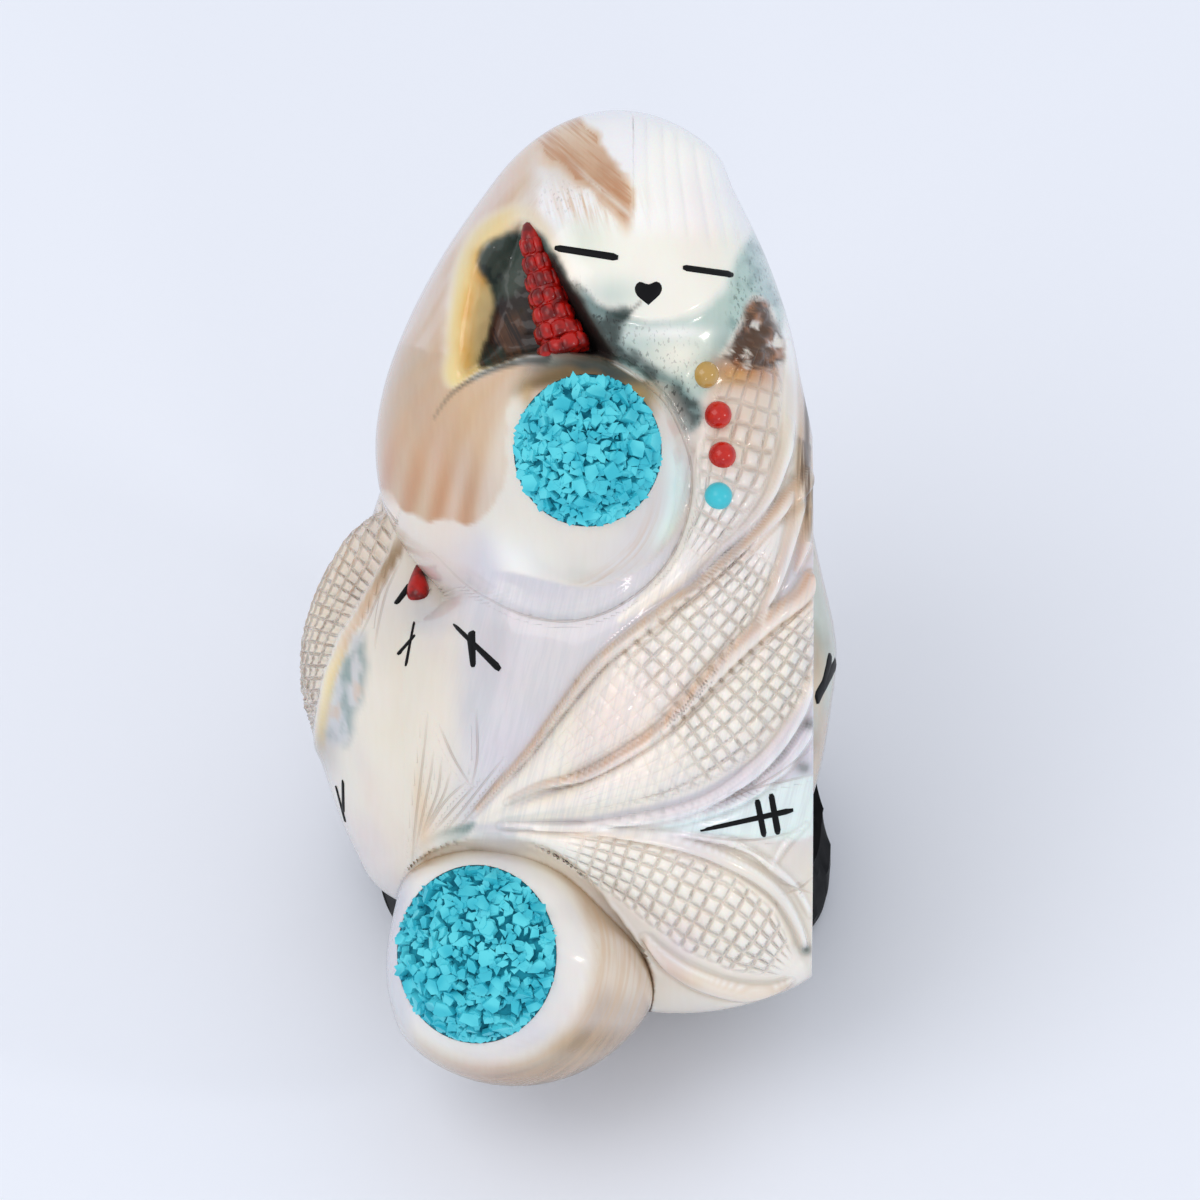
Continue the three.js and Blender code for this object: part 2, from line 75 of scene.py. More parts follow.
# Rows of the shell's lobes: height, left end, right end, front, widest depth, back.
HEAD_ROWS = [
    (56, -8.5, 12.9, 66, 57, 48),
    (50, -14, 16.5, 71.5, 53.5, 38),
    (42, -19.5, 20.4, 74.8, 50.5, 31),
    (34, -23.7, 23.2, 75.3, 49, 27),
    (26, -26.6, 24.9, 74, 48, 25),
    (18, -27.6, 26.5, 72, 47, 24),
    (10, -26, 27.5, 69, 46.5, 24),
    (4, -22.3, 26, 66, 46, 25),
    (-2, -16.5, 21, 62, 45.5, 27),
    (-8, -11, 14, 57, 45, 32),
]
PANEL_ROWS = [
    (32, 4, 21, 64, 50, 42),
    (24, -6, 24.4, 69, 48, 38),
    (14, -14, 28, 72, 46, 30),
    (4, -19, 31.5, 72, 44, 26),
    (-6, -22, 34, 70.5, 42, 22),
    (-16, -24, 36, 68, 40, 20),
    (-26, -24, 36.5, 64, 38.5, 19),
    (-36, -21, 34, 57.5, 37, 20),
    (-43, -14, 29.5, 50.5, 36.5, 23),
    (-48, -4, 23.5, 44, 36.5, 29),
]
LEFT_ROWS = [
    (9, -29.6, -2, 43, 34, 20),
    (4, -33.4, 4, 47, 33, 14),
    (-3, -36.4, 8, 54, 32, 9),
    (-10, -36.8, 9, 59, 32, 7),
    (-17, -35.3, 9, 60, 32, 7),
    (-24, -33.1, 7, 58, 32, 9),
    (-31, -30.2, 4, 54, 32, 12),
    (-36.5, -26, -2, 48, 33, 18),
]
REAR_ROWS = [
    (32, -17, 16, 46, 36, 20),
    (24, -23, 21, 47, 31, 11),
    (14, -27, 25, 48, 28, 4),
    (4, -30, 27.3, 49, 26, -2),
    (-6, -31, 29.3, 50, 25, -4),
    (-14, -31, 28.5, 50, 26, -2),
    (-22, -29, 27, 48, 27, 3),
    (-30, -25, 24, 45, 29, 10),
    (-38, -17, 17, 42, 33, 22),
]
LOWER_KNOB_ROWS = [
    (-32, -22.2, -3.9, 58, 44, 34),
    (-38, -25.3, 1.7, 62, 43, 29),
    (-44, -26.3, 5.7, 63, 42, 27),
    (-50, -25.7, 6.3, 60, 40.5, 27),
    (-55, -23.2, 2.4, 54, 39.5, 29),
]

# The upper knob: a round swelling of the head, steep at its right edge and fading to the left.
KNOB = {"x": -1.5, "y": 13.8, "width": 26, "height": 33, "rise": 10.5}

# The sunk beds of crushed turquoise: the middle, half width and height against width of each; and the
# two ends of the coral ear of corn.
UPPER_BED = {"x": -1.5, "y": 18.2, "half": 8.7, "tallness": 1.03}
LOWER_BED = {"x": -15.1, "y": -43.4, "half": 9.5, "tallness": 1.12}
CORN_TIP = (-9.1, 46.6)
CORN_FOOT = (-4.1, 29.6)

# Ears of corn: the middle line of each, half widths along it, how far it rises, how many rows of
# kernels lie across it and how long they are. Between the two parts of its length under "worn" the
# kernels are nearly smooth, but for a row along its edge beyond "edge_row".
EARS = {
    "upper": {
        "path": [
            (20.4, 33), (18.6, 26), (17.3, 20.5), (16, 15), (14.2, 10.5), (10.9, 5.3), (6.8, 1),
            (2.5, -2.4),
        ],
        "half": [0.8, 4, 5, 4.9, 3.4, 2, 1.3, 0.4],
        "rise": 1.6,
        "rows": 5,
        "pitch": 2.4,
        "worn": (0.85, 2),
        "edge_row": 2,
    },
    "middle": {
        "path": [
            (22.7, 10.4), (17.8, 2.5), (11, -4.9), (3.7, -12.3), (-3.7, -18.4), (-9.8, -23.3),
            (-14.7, -27),
        ],
        "half": [1, 3.7, 5.2, 5.7, 4.1, 2.1, 0.5],
        "rise": 2.0,
        "rows": 6,
        "pitch": 2.0,
        "worn": (0.45, 0.85),
        "edge_row": 2,
    },
    "lower": {
        "path": [
            (26.7, -1.5), (21.5, -8.8), (15.7, -14.9), (8.1, -20.3), (-1.5, -24.2), (-8.8, -25.9),
            (-14.1, -27),
        ],
        "half": [2.5, 4.9, 5.6, 4.6, 2.9, 1.7, 0.4],
        "rise": 2.2,
        "rows": 6,
        "pitch": 1.8,
        "worn": (0.42, 0.68),
        "edge_row": 0.62,
    },
    "foot": {
        "path": [
            (-9.8, -28.9), (-2.5, -31), (3.6, -33.2), (7.8, -35.3), (15.5, -39.7), (18.9, -42),
            (23.7, -45.6),
        ],
        "half": [0.6, 2.6, 4.1, 5.3, 6.1, 5.2, 1.7],
        "rise": 2.2,
        "rows": 6,
        "pitch": 1.85,
        "worn": (2, 3),
        "edge_row": 2,
    },
}
KERNEL_RELIEF = 0.55

# Husk leaves between the ears: the middle line of each, half widths along it, how far it rises, and
# how brown it is, which also sets the strength of its painted shadow and highlight.
HUSKS = [
    {
        "path": [
            (25.8, 15.5), (19.6, 8.4), (12.3, 1.6), (10, 0), (3.3, -4.9), (-0.8, -8.5), (-5.1, -13.9),
            (-8.7, -18.6), (-13, -23.5), (-15.5, -26.3),
        ],
        "half": [1.2, 1.1, 1.0, 0.95, 0.9, 0.8, 0.65, 0.5, 0.4, 0.3],
        "rise": 1.0,
        "brown": 0.85,
    },
    {
        "path": [
            (26, 2.4), (24.2, 0), (20.8, -2.5), (16.1, -6.9), (11.4, -11.9), (7.3, -16), (3.2, -18.8),
            (-2.1, -21.6), (-7.4, -22.9), (-11.5, -24.8),
        ],
        "half": [1.3, 1.3, 1.2, 1.1, 1.0, 0.95, 0.85, 0.7, 0.5, 0.3],
        "rise": 1.2,
        "brown": 0.8,
    },
    {
        "path": [
            (23.2, 31.5), (23.4, 24.5), (23.1, 19.5), (22.2, 16.2), (20.6, 12.2), (18.0, 8.9),
            (15.0, 6.1), (12.3, 3.3),
        ],
        "half": [0.5, 0.9, 1.0, 0.9, 0.8, 0.7, 0.5, 0.3],
        "rise": 0.7,
        "brown": 0.1,
    },
    {
        "path": [(25.4, 26), (25.3, 19), (24.4, 12), (23.0, 6.5), (21.4, 1.6), (19.2, -3)],
        "half": [0.5, 0.9, 1.0, 1.0, 0.8, 0.4],
        "rise": 0.8,
        "brown": 0.45,
    },
    {
        "path": [(26, 10.5), (25, 6), (24, 3.4)],
        "half": [0.7, 0.8, 0.3],
        "rise": 0.4,
        "brown": 0.5,
    },
    {
        "path": [
            (26.1, -9.5), (24, -14.6), (20.3, -19.6), (15, -23.8), (9, -26.2), (0, -27.6),
            (-8.4, -28.0),
        ],
        "half": [0.7, 1.0, 1.1, 0.9, 0.8, 0.5, 0.3],
        "rise": 0.8,
        "brown": 0.1,
    },
    {
        "path": [(26, -15.4), (22.4, -20.4), (17, -24.6), (10, -27.1), (3, -28.1)],
        "half": [0.9, 0.9, 0.7, 0.5, 0.3],
        "rise": 0.6,
        "brown": 0.05,
    },
    {
        "path": [
            (-12.3, -27.7), (-1.9, -28.2), (5.8, -29.2), (11.2, -30.4), (15, -31.8), (19.2, -34),
            (22.2, -36.6), (24.3, -40.2), (25.2, -43),
        ],
        "half": [0.4, 0.5, 0.6, 0.7, 0.8, 0.9, 0.9, 0.8, 0.6],
        "rise": 0.8,
        "brown": 0.12,
    },
    {
        "path": [(4, -28.4), (14.7, -29.6), (20, -32.1), (23.8, -35.2), (25.8, -38.6)],
        "half": [0.3, 0.5, 0.6, 0.6, 0.4],
        "rise": 0.5,
        "brown": 0.05,
    },
    {
        "path": [(20.9, -33.2), (22.6, -30.2), (25.3, -27.5)],
        "half": [0.25, 0.55, 0.25],
        "rise": 0.45,
        "brown": 0.1,
    },
    {
        "path": [(5.4, -41.4), (8.4, -44.6), (12.3, -46.9), (17, -48.3), (21, -48.2), (23.6, -47)],
        "half": [0.5, 1.1, 1.3, 1.2, 1.0, 0.4],
        "rise": 1.1,
        "brown": 0.4,
    },
]

# Plain cuts: the fan at the foot of the left body, and lines of the leaves round it.
CUTS = [
    [(-21.1, -14.3), (-21.8, -20.6), (-22.6, -27.2), (-23.1, -32.8)],
    [(-19.5, -15.7), (-17.9, -19.3), (-15.8, -22.8)],
    [(-15.1, -13.8), (-15.0, -19), (-15.7, -22.9)],
    [(-20.4, -19), (-20.9, -22.3), (-22.6, -30.4)],
    [(-19.4, -19.8), (-19.9, -23.5), (-21.8, -28.8)],
    [(-18.4, -21.4), (-19.2, -24), (-21.2, -27.8)],
    [(-21.4, -28.4), (-18.9, -24.6), (-16.4, -22.3)],
    [(-18.9, -28.4), (-15.8, -24.4), (-12.0, -19.6)],
    [(-20.2, -28.2), (-17.4, -25), (-15.2, -22.6)],
    [(-17.2, -27.9), (-13.9, -23.8), (-11.2, -20.4)],
    [(10.5, -28.6), (18, -29.4), (24.4, -28.3)],
    [(14.6, -29.9), (18.4, -31.3), (20.8, -33.4)],
    [(17.0, -29.9), (19.6, -31.2), (21.4, -32.6)],
    [(16.0, -23.6), (21.5, -22.4), (25.9, -21.4)],
    [(14.0, -25.0), (20.5, -22.0), (25.9, -18.2)],
    [(21.8, -34.6), (24.0, -35.3), (25.9, -36)],
    [(22.6, -36.0), (24.4, -35.4), (25.9, -34.2)],
    [(-24.5, 4.7), (-26.1, 1.4), (-27.1, -2.5), (-27.6, -5.5)],
    [(-24.8, 4.9), (-26.8, 1.4), (-28.4, -2.2), (-29.5, -4.6)],
]
CUT_DEPTH = 0.3
CUT_HALF = 0.42
LINE_GROUPS = 6

# Locks of hair: where the grooves between them lie at the height of the eyes.
HAIR_GROOVES = [4.1, 6.3, 8.9, 11.2, 13.9, 16.0, 17.6]
CHIN = [(-3.4, 38.7), (0, 35.6), (4.9, 34.1), (8.6, 34.1), (12.3, 35.6), (15.3, 38.7), (16.3, 41.1)]

# The edge of the upper knob, from its far left round its foot to its top left.
KNOB_EDGE = [
    (-20.3, 5.6), (-16.4, 1.8), (-13.2, -0.1), (-9.1, -1.9), (-4.1, -2.6), (0.5, -1.6), (4.7, 0.9),
    (8.2, 4.5), (10.4, 9.2), (11.2, 14.1), (10.7, 18.2), (8.5, 23.2), (6, 25.9), (1.9, 28.9),
    (-4.9, 30.2), (-11.8, 29.4), (-16, 27),
]
KNOB_TOP = [(-18, 25.8), (-14.7, 28), (-9.8, 29.7), (-4.9, 30.4), (0, 29.6), (4.9, 26.6)]
KNOB_STEP = 1.2
KNOB_HOLLOW = 2.4
RECESS = [
    (-17, 37), (-16.4, 41), (-14.8, 44.4), (-12.4, 46.2), (-9.4, 47.2), (-7.2, 45.2), (-5.4, 42),
    (-2.4, 37), (1.0, 31), (3.0, 26), (-16, 26), (-17.5, 31),
]
BROKEN_TIP = [
    (14.6, 29.4), (17.0, 33.6), (18.6, 37.0), (20.6, 36.4), (21.8, 33), (22.6, 29.6), (20.6, 28.4),
    (17.4, 28.2),
]

# The ear of corn at the left edge: its inner side as (y, x), and how wide its kernels are.
SIDE_EAR = [
    (12, -24), (9, -25.1), (5.7, -26.1), (2.7, -27.8), (0.4, -29.1), (-1.9, -30.4), (-4.2, -32),
    (-6.8, -33), (-9.1, -34), (-14, -35), (-19, -35.6),
]
SIDE_KERNEL = (2.1, 1.6)
SIDE_EAR_COURSE = [(-23, 12), (-28.5, 8), (-33.5, 3), (-36.3, -4), (-36.8, -10), (-36, -16), (-35, -20)]

# How deep inside an ear a place counts where it is near none.
FAR_OUTSIDE = -9.0

MM = 0.001


# Numbers

def smoothstep(value, low, high):
    """0 up to the low value and 1 from the high one, with a smooth way between."""
    t = np.clip((value - low) / (high - low), 0, 1)
    return t * t * (3 - 2 * t)


def between(value, rise, full, fade, gone):
    """0 below the first place, 1 from the second to the third, and 0 beyond the fourth."""
    return smoothstep(value, rise, full) * smoothstep(-value, -gone, -fade)


def bell(value, middle, width):
    """1 where a value is at the middle, falling smoothly to 0 on both sides."""
    return np.exp(-(((value - middle) / width) ** 2))


def smooth_max(a, b, width):
    """The larger of two, blended over this width where they are nearly equal."""
    overlap = np.maximum(width - np.abs(a - b), 0) / width
    return np.maximum(a, b) + overlap**2 * width / 4


def smooth_table(rows):
    """A smooth curve through the rows, whose first column falls; beyond its ends it is level."""
    rows = np.array(rows, float)
    heights = rows[:, 0]
    slopes = np.zeros_like(rows)
    slopes[1:-1] = (rows[2:] - rows[:-2]) / (heights[2:] - heights[:-2])[:, None]

    def at(height):
        height = np.clip(height, heights[-1], heights[0])
        below = np.searchsorted(heights[::-1], height, side="right")
        i = np.clip(len(heights) - 1 - below, 0, len(heights) - 2)
        span = heights[i + 1] - heights[i]
        t = (height - heights[i]) / span
        stay = (1 + 2 * t) * (1 - t) ** 2
        come = t**2 * (3 - 2 * t)
        leave = t * (1 - t) ** 2 * span
        arrive = t**2 * (t - 1) * span
        return [
            stay * rows[i, k] + come * rows[i + 1, k] + leave * slopes[i, k] + arrive * slopes[i + 1, k]
            for k in range(1, rows.shape[1])
        ]

    return at


class Lobe:
    """A rounded form of the shell, with its front and back as depths over x and y."""

    def __init__(self, rows, top, bottom):
        self.top, self.bottom = top, bottom
        self.middle, self.reach = (top + bottom) / 2, (top - bottom) / 2
        height, left, right, front, widest, back = np.array(rows, float).T
        ring = self.ring(height)
        half = (right - left) / 2 / ring
        bulges = (front - widest) / ring, (widest - back) / ring
        self.table = smooth_table(np.column_stack([height, (left + right) / 2, half, widest, *bulges]))

    def ring(self, y):
        return np.sqrt(np.maximum(0, 1 - ((y - self.middle) / self.reach) ** 2))

    def section(self, y):
        centre, half, widest, front, back = self.table(y)
        ring = self.ring(y)
        return centre, half * ring, widest, front * ring, back * ring

    def ends(self, y):
        centre, half, *_ = self.section(y)
        return centre - half, centre + half

    def dome(self, x, y):
        """1 in the middle of a section, 0 at its ends and falling steeply beyond them."""
        centre, half, *_ = self.section(y)
        across = np.clip(np.abs(x - centre) / np.maximum(half, 1e-3), 0, 3)
        left = 1 - across**SQUARENESS
        return np.sign(left) * np.abs(left) ** (1 / SQUARENESS)

    def depth(self, x, y, toward):
        """The front where toward is 1, the back where it is -1; beyond the outline it falls away."""
        _, _, widest, front, back = self.section(y)
        bulge = front if toward > 0 else back
        dome = self.dome(x, y)
        fall = np.where(dome > 0, bulge, np.maximum(bulge, 8)) * dome
        beyond = np.maximum(np.maximum(y - self.top, self.bottom - y), 0)
        return widest + toward * (fall - 10 * beyond)

    def front(self, x, y):
        return self.depth(x, y, 1)

    def back(self, x, y):
        return self.depth(x, y, -1)


HEAD = Lobe(HEAD_ROWS, 60, -14)
PANEL = Lobe(PANEL_ROWS, 38, -51)
LEFT = Lobe(LEFT_ROWS, 14, -40)
REAR = Lobe(REAR_ROWS, 39, -42)
LOWER_KNOB = Lobe(LOWER_KNOB_ROWS, -29, -59.9)


def knob_swelling(x, y):
    """How far the upper knob rises out of the head."""
    right = (x - KNOB["x"]) / (KNOB["width"] / 2)
    up = (y - KNOB["y"]) / (KNOB["height"] / 2)
    leftness = smoothstep(-right, -0.1, 0.9)
    distance = np.hypot(right, up) / (1 + 0.35 * leftness)
    return KNOB["rise"] * np.maximum(0, 1 - distance**2) ** (0.6 + 1.3 * leftness)


def solid_front(x, y):
    """The front of the plain solid that the part has."""
    head = HEAD.front(x, y) + knob_swelling(x, y)
    return np.maximum.reduce([head] + [lobe.front(x, y) for lobe in (PANEL, LEFT, LOWER_KNOB)])


class Course:
    """A smooth line drawn on the front, and where places lie along it and to its side."""

    def __init__(self, path, step=0.4):
        corners = np.array(path, float)
        corners = np.vstack([2 * corners[0] - corners[1], corners, 2 * corners[-1] - corners[-2]])
        points = []
        for before, start, end, after in zip(corners, corners[1:], corners[2:], corners[3:]):
            count = max(2, int(np.linalg.norm(end - start) / step))
            t = np.linspace(0, 1, count, endpoint=False)[:, None]
            bend = (2 * before - 5 * start + 4 * end - after) * t**2
            twist = (3 * start - before - 3 * end + after) * t**3
            points.append(start + ((end - before) * t + bend + twist) / 2)
        self.points = np.vstack([*points, corners[-2:-1]])
        steps = np.diff(self.points, axis=0)
        lengths = np.linalg.norm(steps, axis=1)
        self.along = np.concatenate([[0], np.cumsum(lengths)])
        self.length = self.along[-1]
        self.heading = steps / lengths[:, None]

    def locate(self, x, y):
        """Distance along the course, and distance to its side, positive on its left."""
        places = np.column_stack([x, y])
        along = np.empty(len(places))
        aside = np.empty(len(places))
        starts, heading = self.points[:-1], self.heading
        lengths = np.diff(self.along)
        for first in range(0, len(places), 4000):
            chunk = places[first:first + 4000]
            offset = chunk[:, None, :] - starts[None]
            ahead = np.clip((offset * heading).sum(2), 0, lengths)
            gap = offset - ahead[:, :, None] * heading
            nearest = (gap**2).sum(2).argmin(1)
            rows = np.arange(len(chunk))
            gap = gap[rows, nearest]
            turn = heading[nearest, 0] * gap[:, 1] - heading[nearest, 1] * gap[:, 0]
            along[first:first + 4000] = self.along[nearest] + ahead[rows, nearest]
            aside[first:first + 4000] = np.sign(turn) * np.hypot(gap[:, 0], gap[:, 1])
        return along, aside


def near(course, x, y, margin):
    """Which places lie in the box round a course."""
    low, high = course.points.min(0) - margin, course.points.max(0) + margin
    return (x > low[0]) & (x < high[0]) & (y > low[1]) & (y < high[1])


# Relief of the front, as heights above the smooth shell

def pillow(place):
    """1 in the middle of each whole cell of a grid, falling to 0 on its lines."""
    return 1 - np.abs(2 * (place - np.floor(place)) - 1) ** 2.6


def ear_places(ear, x, y):
    """Where places lie on an ear: along it from 0 to 1, across it from -1 to 1, and its half width."""
    course = Course(ear["path"])
    along, aside = course.locate(x, y)
    t = along / course.length
    half = np.interp(t, np.linspace(0, 1, len(ear["half"])), ear["half"])
    return t, aside / half, half, along


def kernel_strength(ear, t, across, half):
    """How strongly the kernels of an ear show: 0 beyond it and weak where it is worn smooth."""
    start, end = ear["worn"]
    worn = smoothstep(t, start, start + 0.12) * smoothstep(-t, -end - 0.08, -end)
    worn *= smoothstep(-across, -ear["edge_row"] - 0.06, -ear["edge_row"])
    on_ear = smoothstep((1 - np.abs(across)) * half, 0.45, 1.0)
    return on_ear * smoothstep(2 * half / ear["rows"], 0.6, 1.3) * (1 - 0.82 * worn)


def ear_of_corn(ear, x, y):
    """The cushion of an ear, its kernels, and their rows, places, strength and depth inside the ear."""
    cushion, kernels = np.zeros_like(x), np.zeros_like(x)
    grid = np.tile([0, 0, 0, FAR_OUTSIDE], (len(x), 1))
    inside = near(Course(ear["path"]), x, y, 7)
    t, across, half, along = ear_places(ear, x[inside], y[inside])
    cushion[inside] = ear["rise"] * np.clip(1 - across**2, 0, 1) ** 1.15 * smoothstep(half, 0.2, 3)
    row = (across + 1) * ear["rows"] / 2 + 0.1 * ragged(x[inside], y[inside], 4, 7)
    place = along / ear["pitch"] + 0.14 * ragged(x[inside], y[inside], 3.5, 8)
    strength = kernel_strength(ear, t, across, half)
    uneven = 1 + 0.2 * lattice(np.floor(row), np.floor(place), ear["rows"])
    kernels[inside] = KERNEL_RELIEF * (pillow(row) * pillow(place) * uneven - 1) * strength
    grid[inside] = np.column_stack([row, place, strength, (1 - np.abs(across)) * half])
    return cushion, kernels, grid


def by_the_beads(x, y):
    """1 close to a bead, where the kernels are cut away, and 0 elsewhere."""
    close = np.zeros_like(x)
    for node in BEADS:
        bead_x, bead_y, _ = np.ravel(to_leaning([np.mean(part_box(node), 0)]))
        close = np.maximum(close, smoothstep(2.7 - np.hypot(x - bead_x, y - bead_y), 0, 0.8))
    return close


def husk_places(husk, x, y):
    """Which places are near a leaf, and there how far across it, its half width and both ends."""
    course = Course(husk["path"])
    inside = near(course, x, y, 3)
    along, aside = course.locate(x[inside], y[inside])
    t = along / course.length
    half = np.interp(t, np.linspace(0, 1, len(husk["half"])), husk["half"])
    ends = np.maximum(smoothstep(t, 0, 0.02), x[inside] > 24) * smoothstep(1 - t, 0, 0.02)
    return inside, aside, half, ends


def husk_leaf(husk, x, y):
    """A raised leaf with a cut to each side."""
    height = np.zeros_like(x)
    inside, aside, half, ends = husk_places(husk, x, y)
    leaf = np.clip(1 - (aside / half) ** 2, 0, 1) * smoothstep(half, 0.1, 0.8)
    cut = bell(np.abs(aside) - half, 0.1, 0.45) * smoothstep(half, 0.1, 0.6)
    height[inside] = (husk["rise"] * leaf - 0.3 * cut) * ends
    return height


def line_places(path, x, y):
    """The distance to one line, its sign telling the side, and how strongly the line shows there."""
    course = Course(path)
    distance, strength = np.full_like(x, 1.5), np.zeros_like(x)
    inside = near(course, x, y, 1.5)
    along, aside = course.locate(x[inside], y[inside])
    taper = np.sin(math.pi * np.clip(along / course.length, 0.02, 0.98)) ** 0.5
    distance[inside] = aside
    strength[inside] = taper * smoothstep(0.9 - np.abs(aside), 0, 0.4)
    return distance, strength


def plain_cut(path, x, y):
    """One shallow cut, as a height below the surface."""
    distance, strength = line_places(path, x, y)
    return -CUT_DEPTH * strength * bell(distance, 0, CUT_HALF)


def hair(x, y):
    """Which lock of hair each place lies on, and how strongly the locks show."""
    up = smoothstep(y, 38, 60)
    root = (x - 1.0 * up) / (1 - 0.26 * up)
    lock = np.interp(root, HAIR_GROOVES, np.arange(len(HAIR_GROOVES)), left=-0.5, right=6.5)
    hairline = np.interp(x, [2, 5, 10, 14, 17, 20], [47, 44.6, 43.0, 42.2, 41.4, 39])
    on_hair = smoothstep(y - hairline, 0, 2.2) * smoothstep(root, 3.4, 4.2) * smoothstep(19 - root, 0, 1.5)
    return lock, on_hair


def chin(x, y):
    """The face ends in a low step along a crescent."""
    course = Course(CHIN)
    height = np.zeros_like(x)
    inside = near(course, x, y, 6)
    along, aside = course.locate(x[inside], y[inside])
    t = along / course.length
    ends = smoothstep(t, 0.0, 0.3) * smoothstep(1 - t, 0, 0.2)
    face = 0.5 * smoothstep(aside, -0.5, 0.5) * np.exp(-np.maximum(aside, 0) / 2.6)
    neck = -0.25 * bell(aside, -1.1, 1.1)
    height[inside] = (face + neck) * ends
    return height


def knob_edge(x, y):
    """The crease round the upper knob, its rounded edge, and a low step inside that."""
    course = Course(KNOB_EDGE)
    height = np.zeros_like(x)
    inside = near(course, x, y, 8)
    along, aside = course.locate(x[inside], y[inside])
    t = along / course.length
    outside = np.exp(np.minimum(aside, 0) / 2.4) * (aside < 0)
    rounded = (1 - np.sqrt(np.clip(aside / 1.2, 0, 1))) * (aside >= 0)
    foot = between(t, 0.02, 0.16, 0.6, 0.92)
    step = KNOB_STEP * (0.35 + 0.65 * smoothstep(-t, -0.5, -0.35))
    ring = -0.22 * smoothstep(-aside, -2.0, -1.4) * (aside > 0) * smoothstep(-t, -0.66, -0.5)
    height[inside] = -step * foot * (outside + rounded) + ring * foot
    return height


def inside_loop(loop, x, y):
    """Which places lie inside a closed course."""
    odd = np.zeros(len(x), bool)
    for (ax, ay), (bx, by) in zip(loop.points[:-1], loop.points[1:]):
        if ay != by:
            odd ^= ((ay > y) != (by > y)) & (x < ax + (y - ay) * (bx - ax) / (by - ay))
    return odd


def within(outline, x, y, margin):
    """How far inside a closed outline places are; negative outside, down to the margin."""
    loop = Course(outline + outline[:1])
    distance = np.full_like(x, -margin)
    close = near(loop, x, y, margin)
    _, aside = loop.locate(x[close], y[close])
    odd = inside_loop(loop, x[close], y[close])
    distance[close] = np.maximum(np.where(odd, np.abs(aside), -np.abs(aside)), -margin)
    return distance


def lattice(x, y, seed):
    """A number from -1 to 1 for each whole place, as if by chance."""
    value = np.sin(x * 127.1 + y * 311.7 + seed * 74.7) * 43758.5453
    return 2 * (value - np.floor(value)) - 1


def ragged(x, y, size, seed=0):
    """Smooth noise from -1 to 1 in patches of about this size."""
    total = np.zeros_like(x)
    for octave in range(3):
        px, py = x / size * 2**octave, y / size * 2**octave
        cell_x, cell_y = np.floor(px), np.floor(py)
        across, up = smoothstep(px - cell_x, 0, 1), smoothstep(py - cell_y, 0, 1)
        low, high = (
            lattice(cell_x, row, seed) * (1 - across) + lattice(cell_x + 1, row, seed) * across
            for row in (cell_y, cell_y + 1)
        )
        total += (low + (high - low) * up) / 2**octave
    return total / 1.75


def over_knob(x, y):
    """How far above the knob's upper edge places are."""
    edge_x, edge_y = np.array(KNOB_TOP).T
    return y - np.interp(x, edge_x, edge_y)


def recess_depth(x, y):
    """How far the recess beside the face is cut back: sloping on the left, steep by the face."""
    inside = within(RECESS, x, y, 1)
    wall = 3.0 + 2.8 * smoothstep(-x, 7, 12)
    floor = 1 + 0.09 * ragged(x, y, 2.2, 61)
    return RECESS_DEPTH * smoothstep(inside / wall, 0, 1) * floor * smoothstep(over_knob(x, y), -0.2, 0.6)


def body_front(x, y):
    """The panel, falling away smoothly on the left to the body under the head."""
    leftward = smoothstep(-x, 11, 26)
    panel = PANEL.front(smooth_max(x, np.full_like(x, -14), 8), y)
    sunk = 8 * smoothstep(y, -5, 3) * smoothstep(-x, 12, 20) + 0.5 * smoothstep(-x, 22, 26)
    return panel + (LEFT.front(x, y) - panel) * leftward - sunk


def base_front(x, y):
    """The front of the carving without its fine relief."""
    egg = HEAD.front(x, y) + knob_swelling(x, y)
    fillet = 0.4 + 3.6 * smoothstep(-x, 2, 12)
    hollow = KNOB_HOLLOW * smoothstep(LOWER_KNOB.dome(x, y), 0, 0.3) * smoothstep(-y, 28.6, 31)
    return smooth_max(egg, body_front(x, y) - hollow, fillet)


def front_relief(x, y):
    """Cushions of the ears, and the fine relief over them."""
    cushions = np.zeros_like(x)
    close = by_the_beads(x, y)
    fine = -0.3 * close
    for ear in EARS.values():
        cushion, kernels, _ = ear_of_corn(ear, x, y)
        cushions = np.maximum(cushions, cushion)
        fine += kernels * (1 - close)
    for husk in HUSKS:
        fine += husk_leaf(husk, x, y) * smoothstep(-cushions, -1.3, -0.3)
    for path in CUTS:
        fine += plain_cut(path, x, y)
    lock, on_hair = hair(x, y)
    fine += (0.22 * pillow(lock) - 0.1) * on_hair + chin(x, y)
    broken = smoothstep(within(BROKEN_TIP, x, y, 1), -0.2, 1)
    fine += 0.9 * broken * ragged(x, y, 1.5, 62)
    return cushions, fine


# Meshes

# Rows and columns of points on the skin of the front, and on its hidden back.
FRONT_ROWS = 360
FRONT_COLUMNS = 200
BACK_COLUMNS = 18

# Where a lobe ends at heights that it doesn't reach, before the other lobe takes over.
NOWHERE = 99


def to_world(points):
    """From the leaning frame in millimetres to the frame of the part in metres."""
    x, y, depth = np.asarray(points, float).T
    y = y - FOOT_HEIGHT
    level = y * math.cos(LEAN) - depth * math.sin(LEAN)
    height = y * math.sin(LEAN) + depth * math.cos(LEAN)
    return np.column_stack([x, level, height]) * MM


def to_leaning(points):
    """From the frame of the part in metres to the leaning frame in millimetres."""
    x, level, height = (np.asarray(points, float) / MM).T
    y = level * math.cos(LEAN) + height * math.sin(LEAN) + FOOT_HEIGHT
    depth = -level * math.sin(LEAN) + height * math.cos(LEAN)
    return x, y, depth


def face_outward(mesh):
    """Turns the faces of a closed mesh outward."""
    work = bmesh.new()
    work.from_mesh(mesh)
    if work.calc_volume(signed=True) < 0:
        bmesh.ops.reverse_faces(work, faces=work.faces)
        work.to_mesh(mesh)
    work.free()


